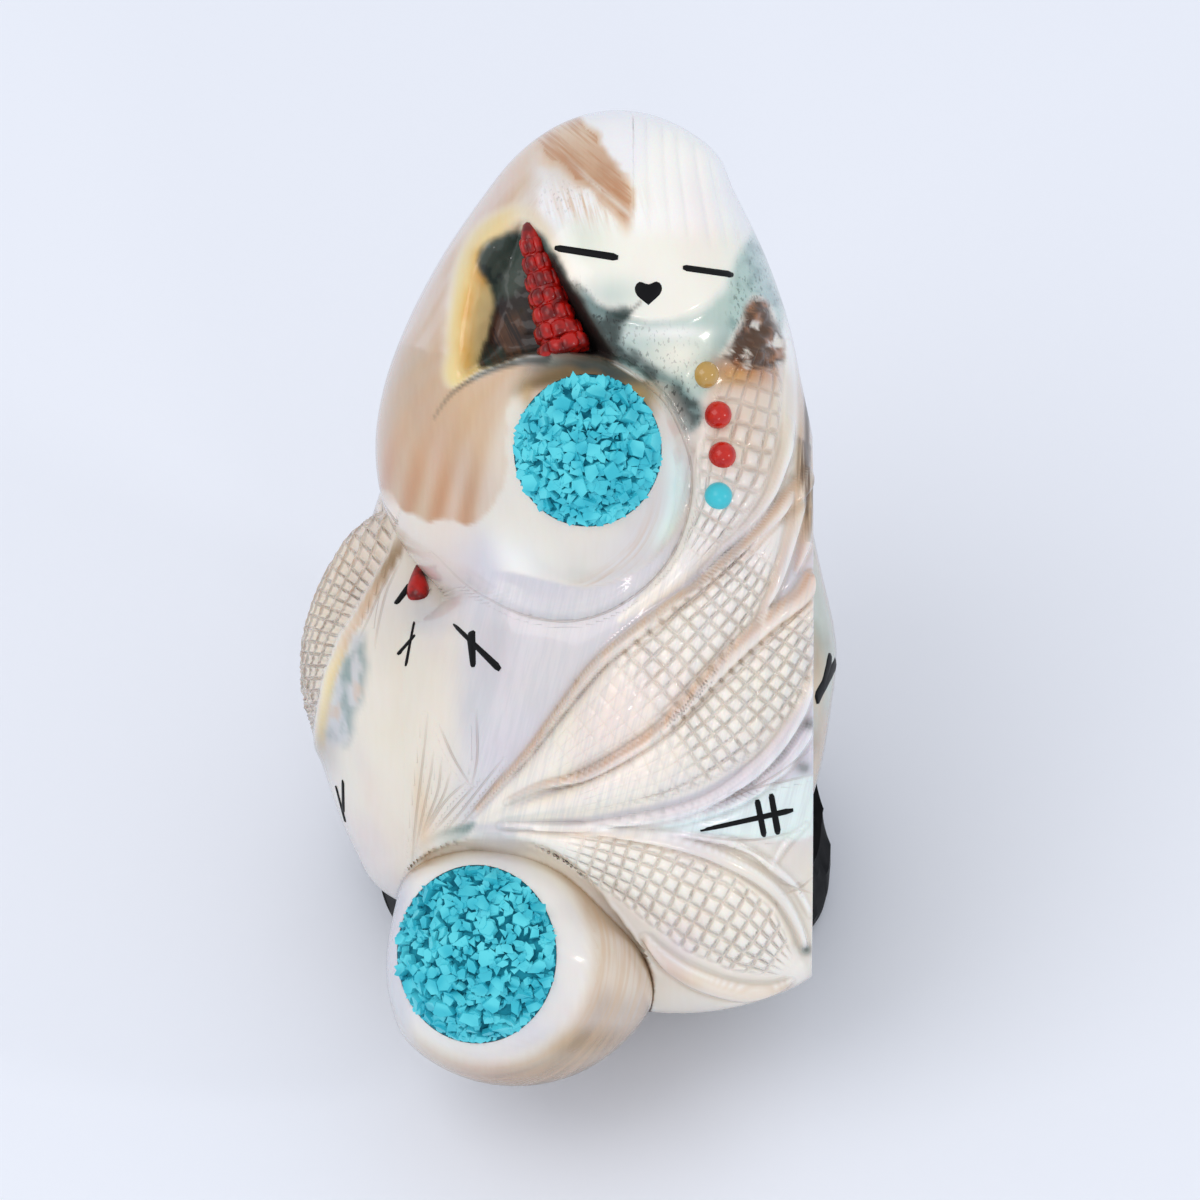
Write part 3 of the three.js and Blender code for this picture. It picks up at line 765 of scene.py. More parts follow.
def make_object(name, points, faces, smooth=True):
    """A closed mesh as an object of the scene, with its faces outward."""
    mesh = bpy.data.meshes.new(name)
    mesh.from_pydata([tuple(p) for p in points], [], faces)
    mesh.validate()
    face_outward(mesh)
    if smooth:
        mesh.shade_smooth()
    made = bpy.data.objects.new(name, mesh)
    bpy.context.scene.collection.objects.link(made)
    return made


def ring_faces(rows, around, first=0):
    """Faces between rings of points, one ring a row, numbered from the first point."""
    faces = []
    for row in range(rows - 1):
        a = first + row * around
        for i in range(around):
            j = (i + 1) % around
            faces.append((a + i, a + j, a + around + j, a + around + i))
    return faces


def end_faces(rows, around):
    """Triangles from the first and the last ring to the two points that follow the rings."""
    last = (rows - 1) * around
    faces = []
    for i in range(around):
        j = (i + 1) % around
        faces.append((rows * around, j, i))
        faces.append((rows * around + 1, last + i, last + j))
    return faces


def closed_rings(name, rings, start, end):
    """A closed mesh through rings of points, with a point at each end."""
    rows, around, _ = rings.shape
    points = np.vstack([rings.reshape(-1, 3), [start], [end]])
    faces = ring_faces(rows, around) + end_faces(rows, around)
    return make_object(name, to_world(points), faces)


def eased(count):
    """Numbers from -1 to 1, close together at both ends."""
    t = np.linspace(-1, 1, count)
    return 1.125 * t - 0.125 * t**9


def pole(lobe, y):
    """The point where a lobe closes."""
    centre, _, widest, _, _ = lobe.section(y)
    return centre, y, widest


def front_of_shell():
    """The head, knob and panel as one skin, sawn flat on the right."""
    y = (HEAD.top + PANEL.bottom) / 2 + (HEAD.top - PANEL.bottom) / 2 * eased(FRONT_ROWS)[1:-1]
    head_left, head_right = HEAD.ends(y)
    panel_left, panel_right = PANEL.ends(y)
    head_left = np.where(y < HEAD.bottom, NOWHERE, head_left)
    head_right = np.where(y < HEAD.bottom, -NOWHERE, head_right)
    panel_left = np.where(y > PANEL.top, NOWHERE, panel_left)
    panel_right = np.where(y > PANEL.top, -NOWHERE, panel_right)
    buried = panel_left + (-27 - panel_left) * smoothstep(y, -40, -28)
    free = np.minimum(head_left, panel_left)
    left = buried + (free - buried) * smoothstep(y, -1, 2)
    right = np.minimum(np.maximum(head_right, panel_right), CUT_EDGE)

    columns = eased(FRONT_COLUMNS)
    rightward = 0.16 * smoothstep(-y, -34, -24)[:, None]
    places = columns + rightward * (1 - columns**2)
    across = (left + right)[:, None] / 2 + (right - left)[:, None] / 2 * places
    height = np.repeat(y[:, None], len(columns), 1)
    flat_x, flat_y = across.ravel(), height.ravel()
    depth = finished_front(flat_x, flat_y).reshape(across.shape + (3,))

    back_columns = eased(BACK_COLUMNS)[::-1]
    back_x = (left + right)[:, None] / 2 + (right - left)[:, None] / 2 * back_columns
    back_y = np.repeat(y[:, None], len(back_columns), 1)
    back = np.minimum(HEAD.back(back_x, back_y), PANEL.back(back_x, back_y))
    behind = np.minimum(back, LEFT.back(back_x, back_y) + 3)
    back = np.where(back_y > 1, back, behind)
    rings = np.concatenate([depth, np.stack([back_x, back_y, back], 2)], 1)
    return closed_rings("shell", rings[::-1], pole(HEAD, HEAD.top), pole(PANEL, PANEL.bottom))


def finished_front(x, y):
    """Points of the front with all its relief."""
    cushions, fine = front_relief(x, y)
    over = HEAD.front(x, y) + knob_swelling(x, y) - PANEL.front(x, y)
    husk_zone = smoothstep(-over, -1.5, 0.5)
    head_zone = smoothstep(y, 26, 29)
    cushions, fine = cushions * np.maximum(husk_zone, head_zone), fine * np.maximum(husk_zone, head_zone)
    step = 0.2
    slope_x = (base_front(x + step, y) - base_front(x - step, y)) / (2 * step)
    slope_y = (base_front(x, y + step) - base_front(x, y - step)) / (2 * step)
    normal = np.column_stack([-slope_x, -slope_y, np.ones_like(x)])
    normal /= np.linalg.norm(normal, axis=1)[:, None]
    rim = np.clip((x - (CUT_EDGE - 0.5)) / 0.5, 0, 1)
    rounding = 0.5 * (1 - np.sqrt(1 - rim**2)) * smoothstep(-y, -17, -14)
    depth = base_front(x, y) + cushions * smoothstep(normal[:, 2], 0.2, 0.6) - rounding - recess_depth(x, y)
    fine += knob_edge(x, y)
    lift = normal * (fine * smoothstep(normal[:, 2], 0.2, 0.5))[:, None]
    lift[:, 0] *= smoothstep(CUT_EDGE - x, 0, 0.6)
    return np.column_stack([x, y, depth]) + lift


def side_ear_places(x, y, depth):
    """Distance round the left body from the inner side of its ear, distance along it, and strength."""
    ear_y, ear_x = np.array(SIDE_EAR[::-1]).T
    inner = np.interp(y, ear_y, ear_x)
    girth = np.hypot(x - inner, (depth - LEFT.front(inner, y)) * 0.8)
    girth = np.where(x < inner, girth, -(x - inner))
    along = Course(SIDE_EAR_COURSE).locate(x, y)[0]
    length = between(y, -18, -13, 11, 13)
    return girth, along, between(girth, -0.1, 0.5, 10, 12) * length


def side_ear(x, y, depth):
    """Relief of the ear of corn at the left edge, as a height out of the left body."""
    girth, along, strength = side_ear_places(x, y, depth)
    grid = pillow(girth / SIDE_KERNEL[0]) * pillow(along / SIDE_KERNEL[1])
    band = bell(girth, -0.7, 0.6) * between(y, -22, -16, 8, 11)
    return strength * (0.4 + 0.75 * (grid - 1)) - 0.45 * band


def lobe_mesh(name, lobe, along, around, relief=None):
    """A lobe as a closed mesh of rings."""
    y = lobe.middle + lobe.reach * np.cos(np.linspace(0, math.pi, along + 2)[1:-1])
    turn = np.linspace(0, 2 * math.pi, around, endpoint=False)
    if relief:
        turn = turn - 0.62 * np.sin(turn - 0.5) - 0.62 * math.sin(0.5)
    centre, half, widest, front, back = (v[:, None] for v in lobe.section(y))

    def round_off(value):
        return np.sign(value) * np.abs(value) ** (2 / SQUARENESS)

    out = round_off(np.sin(turn))[None]
    x = centre - half * round_off(np.cos(turn))
    depth = widest + np.where(out > 0, front * out, back * out)
    rings = np.stack([x, np.repeat(y[:, None], around, 1), depth], 2)
    if relief:
        ahead, beside = np.gradient(rings, axis=0), np.gradient(rings, axis=1)
        outward = np.cross(beside, ahead)
        outward /= np.linalg.norm(outward, axis=2)[:, :, None] + 1e-9
        height = relief(rings[:, :, 0].ravel(), rings[:, :, 1].ravel(), rings[:, :, 2].ravel())
        rings = rings + outward * height.reshape(along, around)[:, :, None]
    return closed_rings(name, rings, pole(lobe, lobe.top), pole(lobe, lobe.bottom))


def combine(body, others, operation):
    """Joins closed meshes to a body, or cuts them from it."""
    for other in others:
        step = body.modifiers.new(operation, "BOOLEAN")
        step.object = other
        step.operation = operation
        step.solver = "MANIFOLD"
    graph = bpy.context.evaluated_depsgraph_get()
    body.data = bpy.data.meshes.new_from_object(body.evaluated_get(graph))
    body.modifiers.clear()
    for other in others:
        bpy.data.objects.remove(other)


def mouth_cutter():
    """The hollow behind the sawn edge."""
    bpy.ops.mesh.primitive_uv_sphere_add(segments=64, ring_count=32)
    hollow = bpy.context.object
    x, y = MOUTH_PLACE
    lip = float(PANEL.front(np.array([CUT_EDGE]), np.array([float(y)]))[0]) - LIP_THICKNESS
    points = np.array([v.co for v in hollow.data.vertices]) * MOUTH_RADII
    tilted = points @ np.array(Matrix.Rotation(MOUTH_TILT, 3, "X")).T
    placed = to_world(tilted + [x, y, lip - MOUTH_RADII[2]])
    for vertex, point in zip(hollow.data.vertices, placed):
        vertex.co = point
    hollow.data.shade_smooth()
    return hollow


def seat_cutter():
    """Everything below the level of the seat on the stone."""
    bpy.ops.mesh.primitive_cube_add(size=0.3, location=(0, 0, SEAT_LEVEL * MM - 0.15))
    return bpy.context.object


def disc(bed, grow, floor, crown, name, sides=72, circles=10):
    """A closed disc whose floor and crown follow the front."""
    turn = np.linspace(0, 2 * math.pi, sides, endpoint=False)
    radii = np.linspace(1, 0, circles, endpoint=False)
    half = bed["half"] + grow

    def layer(lift_at):
        rows = []
        for radius in radii:
            x = bed["x"] + radius * half * np.cos(turn)
            y = bed["y"] + radius * half * bed["tallness"] * np.sin(turn)
            rows.append(np.column_stack([x, y, solid_front(x, y) + lift_at(radius)]))
        return rows

    top = layer(lambda radius: crown * (1 - 0.6 * radius**4))
    bottom = layer(lambda radius: -floor)
    centre = (bed["x"], bed["y"], float(solid_front(np.array([bed["x"]]), np.array([bed["y"]]))[0]))
    rings = np.stack(top[::-1] + bottom)
    return closed_rings(name, rings, np.add(centre, (0, 0, crown)), np.subtract(centre, (0, 0, floor)))


def shell_piece():
    """The whole shell: its lobes joined, then the mouth, seat and pockets cut out."""
    body = front_of_shell()
    lobes = [
        lobe_mesh("rear", REAR, 48, 72),
        lobe_mesh("left", LEFT, 170, 170, side_ear),
        lobe_mesh("lower_knob", LOWER_KNOB, 70, 100),
    ]
    combine(body, lobes, "UNION")
    cutters = [
        mouth_cutter(),
        seat_cutter(),
        disc(UPPER_BED, CLEARANCE, BED_DEPTH, 4, "upper_pocket"),
        disc(LOWER_BED, CLEARANCE, BED_DEPTH, 4, "lower_pocket"),
    ]
    combine(body, cutters, "DIFFERENCE")
    body.name = "carved_shell"
    body.data.set_sharp_from_angle(angle=math.radians(62))
    return body


# Small inlaid pieces

def lying(place, ahead, sink):
    """Axes and origin of something that lies on the front: side, ahead and out, in the leaning frame."""
    x, y = (np.array([float(v)]) for v in place)
    step = 0.4
    across = solid_front(x + step, y) - solid_front(x - step, y)
    along = solid_front(x, y + step) - solid_front(x, y - step)
    out = np.array([-across[0], -along[0], 2 * step])
    out /= np.linalg.norm(out)
    forward = np.array([*ahead, 0.0])
    forward -= out * forward.dot(out)
    forward /= np.linalg.norm(forward)
    origin = np.array([x[0], y[0], solid_front(x, y)[0]]) - out * sink
    return np.array([np.cross(forward, out), forward, out]), origin


def chip(rng, size):
    """Corners and faces of one flat angular chip of stone about this wide."""
    corners = rng.integers(3, 7)
    turns = (np.arange(corners) + rng.uniform(-0.3, 0.3, corners)) * 2 * math.pi / corners
    radius = size / 2 * rng.uniform(0.8, 1.2, corners)
    rim = np.column_stack([radius * np.cos(turns), radius * np.sin(turns) * rng.uniform(0.5, 0.95)])
    thick = size * rng.uniform(0.18, 0.3)
    top = np.column_stack([rim * rng.uniform(0.82, 0.98), np.full(corners, thick)])
    bottom = np.column_stack([rim, np.full(corners, -thick)])
    faces = [tuple(range(corners)), tuple(range(2 * corners - 1, corners - 1, -1))]
    for i in range(corners):
        j = (i + 1) % corners
        faces.append((i, corners + i, corners + j, j))
    return np.vstack([top, bottom]), faces


# Layers of chips in a bed: how many, smallest and largest, how far up they lie, and from how far out.
CHIP_LAYERS = [
    (330, 1.0, 1.8, 0.0, 0),
    (140, 0.8, 1.4, 0.1, 0.92),
    (190, 1.2, 2.3, 0.28, 0),
    (36, 2.0, 3.0, 0.4, 0),
]


def crushed_turquoise(bed, name, seed):
    """A bed of chips of turquoise, small ones under large ones, on a disc that fills its pocket."""
    rng = np.random.default_rng(seed)
    points, faces = [], []
    total = 0
    golden = math.pi * (3 - math.sqrt(5))
    for count, smallest, largest, lift, inner in CHIP_LAYERS:
        for i in range(count):
            size = rng.uniform(smallest, largest)
            limit = 1.03 - 0.5 * size / bed["half"]
            spread = inner**2 + (1 - inner**2) * (i + 0.5) / count
            radius = min(math.sqrt(spread) + rng.normal(0, 0.02), limit)
            turn = i * golden + rng.uniform(-0.3, 0.3)
            x = bed["x"] + bed["half"] * radius * math.cos(turn)
            y = bed["y"] + bed["half"] * bed["tallness"] * radius * math.sin(turn)
            shape, sides = chip(rng, size)
            axes, origin = lying((x, y), (math.cos(7 * turn), math.sin(7 * turn)), 0)
            shape[:, 2] += shape[:, :2] @ rng.normal(0, 0.3, 2)
            crown = BED_RISE * (1 - 0.6 * radius**4) - 0.42
            points.append(shape @ axes + origin + axes[2] * (crown + lift * rng.uniform(0.3, 1)))
            faces += [tuple(total + corner for corner in side) for side in sides]
            total += len(shape)
    return make_object(name, to_world(np.vstack(points)), faces, smooth=False)


def bed_floor(bed, name):
    """The bed of dust and glue that fills a pocket under its chips; its dark colour is partly painted
    shade.
    """
    return disc(bed, CLEARANCE * 0.8, BED_DEPTH - CLEARANCE, BED_RISE - 0.45, name, sides=48, circles=6)


def kernel_shape(level=2):
    """A kernel as a rounded block: points on a ball pushed out towards a cube."""
    mesh = bmesh.new()
    bmesh.ops.create_icosphere(mesh, subdivisions=level, radius=1)
    points = np.array([v.co for v in mesh.verts])
    faces = [tuple(v.index for v in face.verts) for face in mesh.faces]
    mesh.free()
    return points / (np.abs(points) ** 8).sum(1, keepdims=True) ** (1 / 8), faces


def coral_kernel(rng, shape, radius, turn, band, up, slope):
    """Points of one kernel of the coral ear, standing out of its core."""
    width = 2 * math.pi * radius / CORN_AROUND
    size = np.array([0.46 * width, 0.5 * band, 0.34 * radius]) * rng.uniform(0.85, 1.08, 3)
    outward = np.array([math.sin(turn), 0, math.cos(turn)])
    sideways = np.array([math.cos(turn), 0, -math.sin(turn)])
    out_to = radius - size[2] + rng.uniform(-0.12, 0.08)
    at = outward * out_to + np.array([0, up + slope * outward[0] * radius, 0])
    tilted = shape * size + np.outer(shape[:, 0] * size[0], (0, rng.uniform(-0.2, 0.2), 0))
    return tilted @ np.array([sideways, [0, 1, 0], outward]) + at


CORE_PROFILE = [
    (0.0, 0), (0.78, 0.02), (0.72, 0.3), (0.56, 0.6), (0.36, 0.82), (0.4, 0.88), (0.34, 0.92),
    (0.16, 0.985), (0.0, 1),
]


def coral_corn():
    """The coral ear of corn: staggered bands of kernels round a core, with a smooth tip."""
    middle = np.add(CORN_TIP, CORN_FOOT) / 2 - (0.7, 0)
    axes, origin = lying(middle, np.subtract(CORN_TIP, CORN_FOOT) - (0.8, 0), CORN_SINK)
    rng = np.random.default_rng(5)
    shape, sides = kernel_shape()
    band = CORN_LENGTH / (CORN_BANDS + 1)
    points, faces, total = [], [], 0
    for i in range(CORN_BANDS):
        radius = CORN_RADIUS * (1 - 0.08 * i) * rng.uniform(0.95, 1.02)
        slope = rng.uniform(-0.12, 0.12)
        up = band * (i + 0.5) - CORN_LENGTH / 2
        for k in range(CORN_AROUND):
            turn = 2 * math.pi * (k + (i % 2) / 2 + rng.uniform(-0.1, 0.1)) / CORN_AROUND
            points.append(coral_kernel(rng, shape, radius, turn, band, up, slope))
            faces += [tuple(total + corner for corner in side) for side in sides]
            total += len(shape)
    core, core_faces = turned(CORE_PROFILE, CORN_RADIUS, CORN_LENGTH, 28)
    core[:, 1] -= CORN_LENGTH / 2
    points.append(core)
    faces += [tuple(total + corner for corner in side) for side in core_faces]
    return make_object("kernelled_coral_corn", to_world(np.vstack(points) @ axes + origin), faces)


def turned(profile, radius, length, sides):
    """Points and faces of a turned form along +Y, from parts of its radius and length."""
    points = [(0, profile[0][1] * length, 0)]
    turn = np.linspace(0, 2 * math.pi, sides, endpoint=False)
    for part, height in profile[1:-1]:
        across, out = np.sin(turn) * part * radius, np.cos(turn) * part * radius
        points.extend(np.column_stack([across, np.full(sides, height * length), out]))
    points.append((0, profile[-1][1] * length, 0))
    faces = []
    rows = len(profile) - 2
    for i in range(sides):
        j = (i + 1) % sides
        faces.append((0, 1 + j, 1 + i))
        for row in range(rows - 1):
            a, b = 1 + row * sides, 1 + (row + 1) * sides
            faces.append((a + i, a + j, b + j, b + i))
        last = 1 + (rows - 1) * sides
        faces.append((last + i, last + j, len(points) - 1))
    return np.array(points, float), faces


def coral_drop():
    """A smooth drop, its point up against the free edge of the head."""
    low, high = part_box("coral_teardrop")
    middle = np.array(to_leaning([np.add(low, high) / 2])).ravel()
    ahead = np.array(DROP_AHEAD) / np.linalg.norm(DROP_AHEAD)
    side = np.cross(ahead, [0, 0, 1])
    side /= np.linalg.norm(side)
    out = np.cross(side, ahead)
    steps = np.linspace(0, 1, 16)
    swell = [(math.sin(math.pi * s**0.55) ** 0.8 * (1 - 0.1 * s), s) for s in steps]
    points, faces = turned(swell, DROP_RADIUS, DROP_LENGTH, 32)
    points[:, 1] -= DROP_LENGTH / 2
    placed = points @ np.array([side, ahead, out]) + middle + out * 0.6 + [0.75, 0.1, 0]
    return make_object("polished_coral_drop", to_world(placed), faces)


def bead(node):
    """A smooth ball in the place of one bead."""
    low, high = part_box(node)
    bpy.ops.mesh.primitive_uv_sphere_add(segments=48, ring_count=32, radius=BEAD_RADIUS * MM)
    made = bpy.context.object
    made.name = "smooth_" + node
    made.location = [(a + b) / 2 for a, b in zip(low, high)]
    made.data.shade_smooth()
    return made


# Black inlaid strokes: the start and end of each as places on the front, and its two half widths.
STROKES = {
    "left_eye": ((-5.5, 42.9), (2.2, 41.7), 0.5, 0.56),
    "right_eye": ((10.1, 40.5), (16.2, 39.7), 0.46, 0.52),
    "long_line": ((12.3, -28.2), (23.6, -25.7), 0.36, 0.5),
    "first_bar": ((19.2, -24.4), (20.1, -28.9), 0.44, 0.44),
    "second_bar": ((20.9, -23.7), (21.8, -28.6), 0.44, 0.5),
    "long_cross": ((-17.9, -3.0), (-12.2, -8.5), 0.26, 0.6),
    "short_cross": ((-15.8, -3.9), (-15.5, -8.2), 0.95, 0.5),
    "small_cross": ((-22.8, -2.7), (-23.8, -8.1), 0.2, 0.3),
    "small_cross_bar": ((-24.8, -6.7), (-22.7, -4.3), 0.34, 0.34),
    "side_cross": ((-32.5, -22.9), (-31.4, -27.2), 0.45, 0.6),
    "side_cross_bar": ((-31.6, -22.2), (-31.6, -26.0), 0.4, 0.5),
    "by_the_drop": ((-25.1, -0.5), (-23.2, 2.0), 0.45, 0.6),
    "rear_cross": ((29.3, -7.6), (26.6, -12.4), 1.1, 1.2),
    "rear_cross_bar": ((28.5, -7.0), (27.4, -11.2), 1.2, 1.0),
}
HEART = [
    (5.9, 35.9), (4.5, 37.1), (4.25, 38.1), (4.8, 38.75), (5.9, 38.45), (6.9, 38.8), (7.5, 38.3),
    (7.35, 37.3),
]


# The section of a stroke: places across it in shares of its half width, and how high each lies.
STROKE_ACROSS = (-1, -0.6, 0, 0.6, 1)
STROKE_LIFTS = (-0.05, 0.1, 0.16, 0.1, -0.05)
STROKE_DEPTH = 0.6
STROKE_SECTIONS = 14

# The heart's rings: the share of its outline, and how high each lies.
HEART_RINGS = ((1, -STROKE_DEPTH), (1, 0.0), (0.85, 0.12), (0.45, 0.18))


def surface_of(piece):
    """A piece's surface, ready to be searched."""
    graph = bpy.context.evaluated_depsgraph_get()
    return BVHTree.FromObject(piece, graph)


def drop_onto(tree, places):
    """Where places of the leaning frame fall on a surface, looking in from the front, and the way out."""
    inward = Vector((0, math.sin(LEAN), -math.cos(LEAN)))
    starts = to_world([(x, y, 110) for x, y in places])
    hits = [tree.ray_cast(Vector(start), inward) for start in starts]
    return [(hit[0], hit[1]) for hit in hits]


def stroke_rings(tree, start, end, half_start, half_end):
    """Sections of a thin domed stroke let into the surface."""
    start, end = np.array(start), np.array(end)
    heading = (end - start) / np.linalg.norm(end - start)
    ends = to_world([(0, 0, 0), (-heading[1], heading[0], 0)])
    across = Vector(ends[1] - ends[0]).normalized()
    rings = []
    for t in np.linspace(0, 1, STROKE_SECTIONS):
        taper = min(1, math.sqrt(max(0.0, 1 - (2 * t - 1) ** 14)) + 0.6)
        half = (half_start + (half_end - half_start) * t) * taper * MM
        middle, out = drop_onto(tree, [start + (end - start) * t])[0]
        if middle is None:
            continue
        beside = (across - out * across.dot(out)).normalized()
        places = [middle + beside * half * share for share in STROKE_ACROSS]
        found = [tree.find_nearest(place)[0] for place in places]
        top = [place + out * lift * MM for place, lift in zip(found, STROKE_LIFTS)]
        deep = [edge - out * STROKE_DEPTH * MM for edge in (found[-1], found[0])]
        rings.append([tuple(p) for p in top + deep])
    return rings


def add_capped(rings, points, faces):
    """Adds a closed form through rings of points, with a flat face at each end."""
    first, rows, around = len(points), len(rings), len(rings[0])
    for ring in rings:
        points.extend(ring)
    faces.extend(ring_faces(rows, around, first))
    cap = range(first, first + around)
    faces.append(tuple(cap)[::-1])
    faces.append(tuple(corner + (rows - 1) * around for corner in cap))


def black_inlay(shell):
    """Every black stroke and the heart as one object of thin closed forms."""
    tree = surface_of(shell)
    points, faces = [], []
    for start, end, half_start, half_end in STROKES.values():
        add_capped(stroke_rings(tree, start, end, half_start, half_end), points, faces)
    outline = Course(HEART + HEART[:1], 0.3).points[:-1]
    centre = np.mean(HEART, 0)
    rings = []
    for scale, lift in HEART_RINGS:
        found = drop_onto(tree, centre + (outline - centre) * scale)
        rings.append([tuple(hit + out * lift * MM) for hit, out in found])
    add_capped(rings, points, faces)
    return make_object("black_inlay", np.array(points), faces)


# The stone's outline in shares of its width and depth, and its rings: height and share of the outline.
STONE_OUTLINE = [
    (0.5, 0.02), (0.44, 0.3), (0.24, 0.5), (-0.08, 0.47), (-0.34, 0.42), (-0.49, 0.17), (-0.46, -0.2),
    (-0.25, -0.44), (0.05, -0.5), (0.33, -0.42), (0.47, -0.22),
]
STONE_RINGS = [
    (0, 0.955), (0.4, 0.975), (1.3, 0.99), (3, 1), (6, 1), (8.8, 1), (10.4, 0.985), (11.5, 0.96),
    (12, 0.91), (12, 0.6), (12, 0.25),
]
STONE_CHIPS = 17


def stone_base():
    """The black stone, with broad flat chips round its side and a flat underside."""
    low, high = (np.array(corner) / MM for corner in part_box("black_stone_base"))
    outline = Course(STONE_OUTLINE + STONE_OUTLINE[:1], 0.01).points[:-1]
    spread = outline.max(0) - outline.min(0)
    middle = (outline.max(0) + outline.min(0)) / 2
    outline = (outline - middle) / spread * (high - low)[:2] + (low + high)[:2] / 2
    centre = (low + high)[:2] / 2
    rings = []
    for height, share in STONE_RINGS:
        rings.append(np.column_stack([centre + (outline - centre) * share, np.full(len(outline), height)]))
    points = np.array(rings)
    rng = np.random.default_rng(12)
    for i in range(STONE_CHIPS):
        turn = 2 * math.pi * (i + rng.uniform(-0.3, 0.3)) / STONE_CHIPS
        tilt = rng.uniform(-0.35, 0.5)
        level = math.cos(tilt)
        normal = np.array([math.cos(turn) * level, math.sin(turn) * level, math.sin(tilt)])
        across = ((points[3:6] - [*centre, 6]) @ normal).max()
        over = np.maximum((points - [*centre, 6]) @ normal - across * rng.uniform(0.94, 0.985), 0)
        over[points[:, :, 2] > 11] = 0
        over[points[:, :, 2] < 0.2] = 0
        points = points - over[:, :, None] * normal
    rows, around, _ = points.shape
    flat = np.vstack([points.reshape(-1, 3), [[*centre, 0], [*centre, 12]]]) * MM
    faces = ring_faces(rows, around) + end_faces(rows, around)
    made = make_object("chipped_black_stone", flat, faces)
    made.data.set_sharp_from_angle(angle=math.radians(14))
    return made


# Colours. Each place below is a distance in the leaning frame.

def srgb(red, green, blue):
    """A colour from its 0 to 255 values on a screen."""
    parts = np.array([red, green, blue]) / 255
    return np.where(parts <= 0.04045, parts / 12.92, ((parts + 0.055) / 1.055) ** 2.4)


CREAM = srgb(234, 225, 211)
WHITE = srgb(253, 251, 246)
PEARL = srgb(222, 218, 221)
SILVER = srgb(196, 198, 203)
TAN = srgb(212, 174, 134)
PINK_TAN = srgb(214, 185, 160)
BROWN = srgb(186, 124, 80)
DARK_BROWN = srgb(82, 52, 32)
BLACK = srgb(26, 22, 20)
STRAW = srgb(240, 217, 154)
AMBER = srgb(220, 168, 78)
OLIVE = srgb(112, 88, 46)
GOLD = srgb(188, 150, 80)
MOSS = srgb(58, 76, 66)
TEAL = srgb(108, 138, 134)
DEEP_TEAL = srgb(30, 50, 48)
PALE_TEAL = srgb(178, 202, 194)
GREEN_CREAM = srgb(226, 232, 214)
EAR_CREAM = srgb(250, 240, 226)
HUSK_BROWN = srgb(196, 152, 118)
LINE_BROWN = srgb(150, 116, 84)
GROOVE_TAN = srgb(172, 128, 90)
FACE = srgb(246, 243, 228)
CORAL_RED = srgb(176, 24, 20)
HORN = srgb(204, 176, 142)
MINT = srgb(236, 252, 243)
SAND = srgb(232, 204, 174)
DARK_HORN = srgb(158, 126, 90)

# The streaks of the head sweep round the knob: how far a streak has moved across at each height.
STREAM_HEIGHT = [-10, 2, 10.5, 18.2, 22.9, 26.5, 30, 34, 42, 50, 56, 60]
STREAM_SHIFT = [-7.5, -7.5, -7.1, -5.3, -3.2, 0, 4, 6.6, 10.8, 16.3, 21.8, 26]
BAND_PITCH = 3.7

# Outlines of coloured zones of the front.
TONGUE = [
    (-3.6, 60.4), (-1.75, 58.4), (0.2, 56.6), (0.6, 55.2), (2.4, 53), (3.9, 50.8), (4.2, 49),
    (3.9, 46.6), (3.3, 44.4), (2.4, 45.6), (1.2, 47.4), (-0.4, 49.0), (-1.2, 50.2), (-3.6, 50.6),
    (-5, 52.4), (-6.6, 53), (-8.3, 55.2), (-11, 58),
]
FLANK = [
    (-7, 60), (-7.4, 54), (-7.6, 50.8), (-8.3, 47.8), (-10.7, 47.4), (-14.4, 46.2), (-16.3, 42.6),
    (-18.2, 36.8), (-19.1, 30), (-21.4, 22.6), (-23, 18), (-24, 13), (-30, 14), (-32, 24), (-28, 40),
    (-18, 54),
]
STREAKED = [
    (-8.6, 28.6), (-12, 28.4), (-16.6, 26.6), (-19.4, 30), (-28, 30), (-29, 14.6), (-26.4, 13.6),
    (-24.1, 11.4), (-21.4, 9.8), (-19.2, 10.1), (-16.4, 9.0), (-14.8, 9.9), (-12.6, 12), (-11.4, 16),
    (-11.4, 21), (-10.6, 25),
]
NECK = [
    (-2.6, 38), (0, 35.4), (4.9, 33.8), (8.6, 33.8), (12.3, 35.3), (15.3, 38.4), (17, 42.6),
    (19.4, 44), (21.6, 41), (20, 33), (16, 28), (12.5, 25), (10, 23), (7.5, 27), (3, 30.4), (-0.4, 33),
]
CHEEK = [
    (15.6, 36), (17.2, 41), (19.0, 46), (21.5, 42), (22.8, 36), (21.8, 32), (19.6, 35.8), (18.2, 33.5),
    (16.4, 31),
]
BY_KNOB = [
    (-3.2, 39), (-1.4, 37), (0.8, 35.6), (3.6, 35.2), (2.8, 33.2), (2.4, 31.8), (3.8, 30.4), (7.4, 28),
    (10.2, 26), (12.6, 22.5), (10.6, 20.4), (8.6, 23.2), (4.9, 27), (0, 30), (-2.6, 33.6),
]
CLEFT = [
    (-14.7, 28.4), (-14.0, 31.6), (-13.1, 35.6), (-13.6, 38.2), (-14.9, 40.6), (-14.5, 42.8),
    (-12.6, 44.5), (-10.2, 45), (-7.6, 45), (-5.6, 42.6), (-4.2, 40), (-1.9, 36), (0.8, 31.6),
    (1.6, 29), (-6, 28),
]
WEDGE = [
    (-23.6, -33), (-22.2, -30), (-19.2, -28.2), (-15.4, -27.2), (-16.6, -29), (-20, -30.7),
    (-22.2, -33),
]
SIDE_GREY = [
    (-28.9, -4), (-28.6, -9), (-30.2, -14.5), (-31.4, -18), (-33.4, -17), (-33.0, -12), (-31.4, -7),
    (-30.4, -4.5),
]
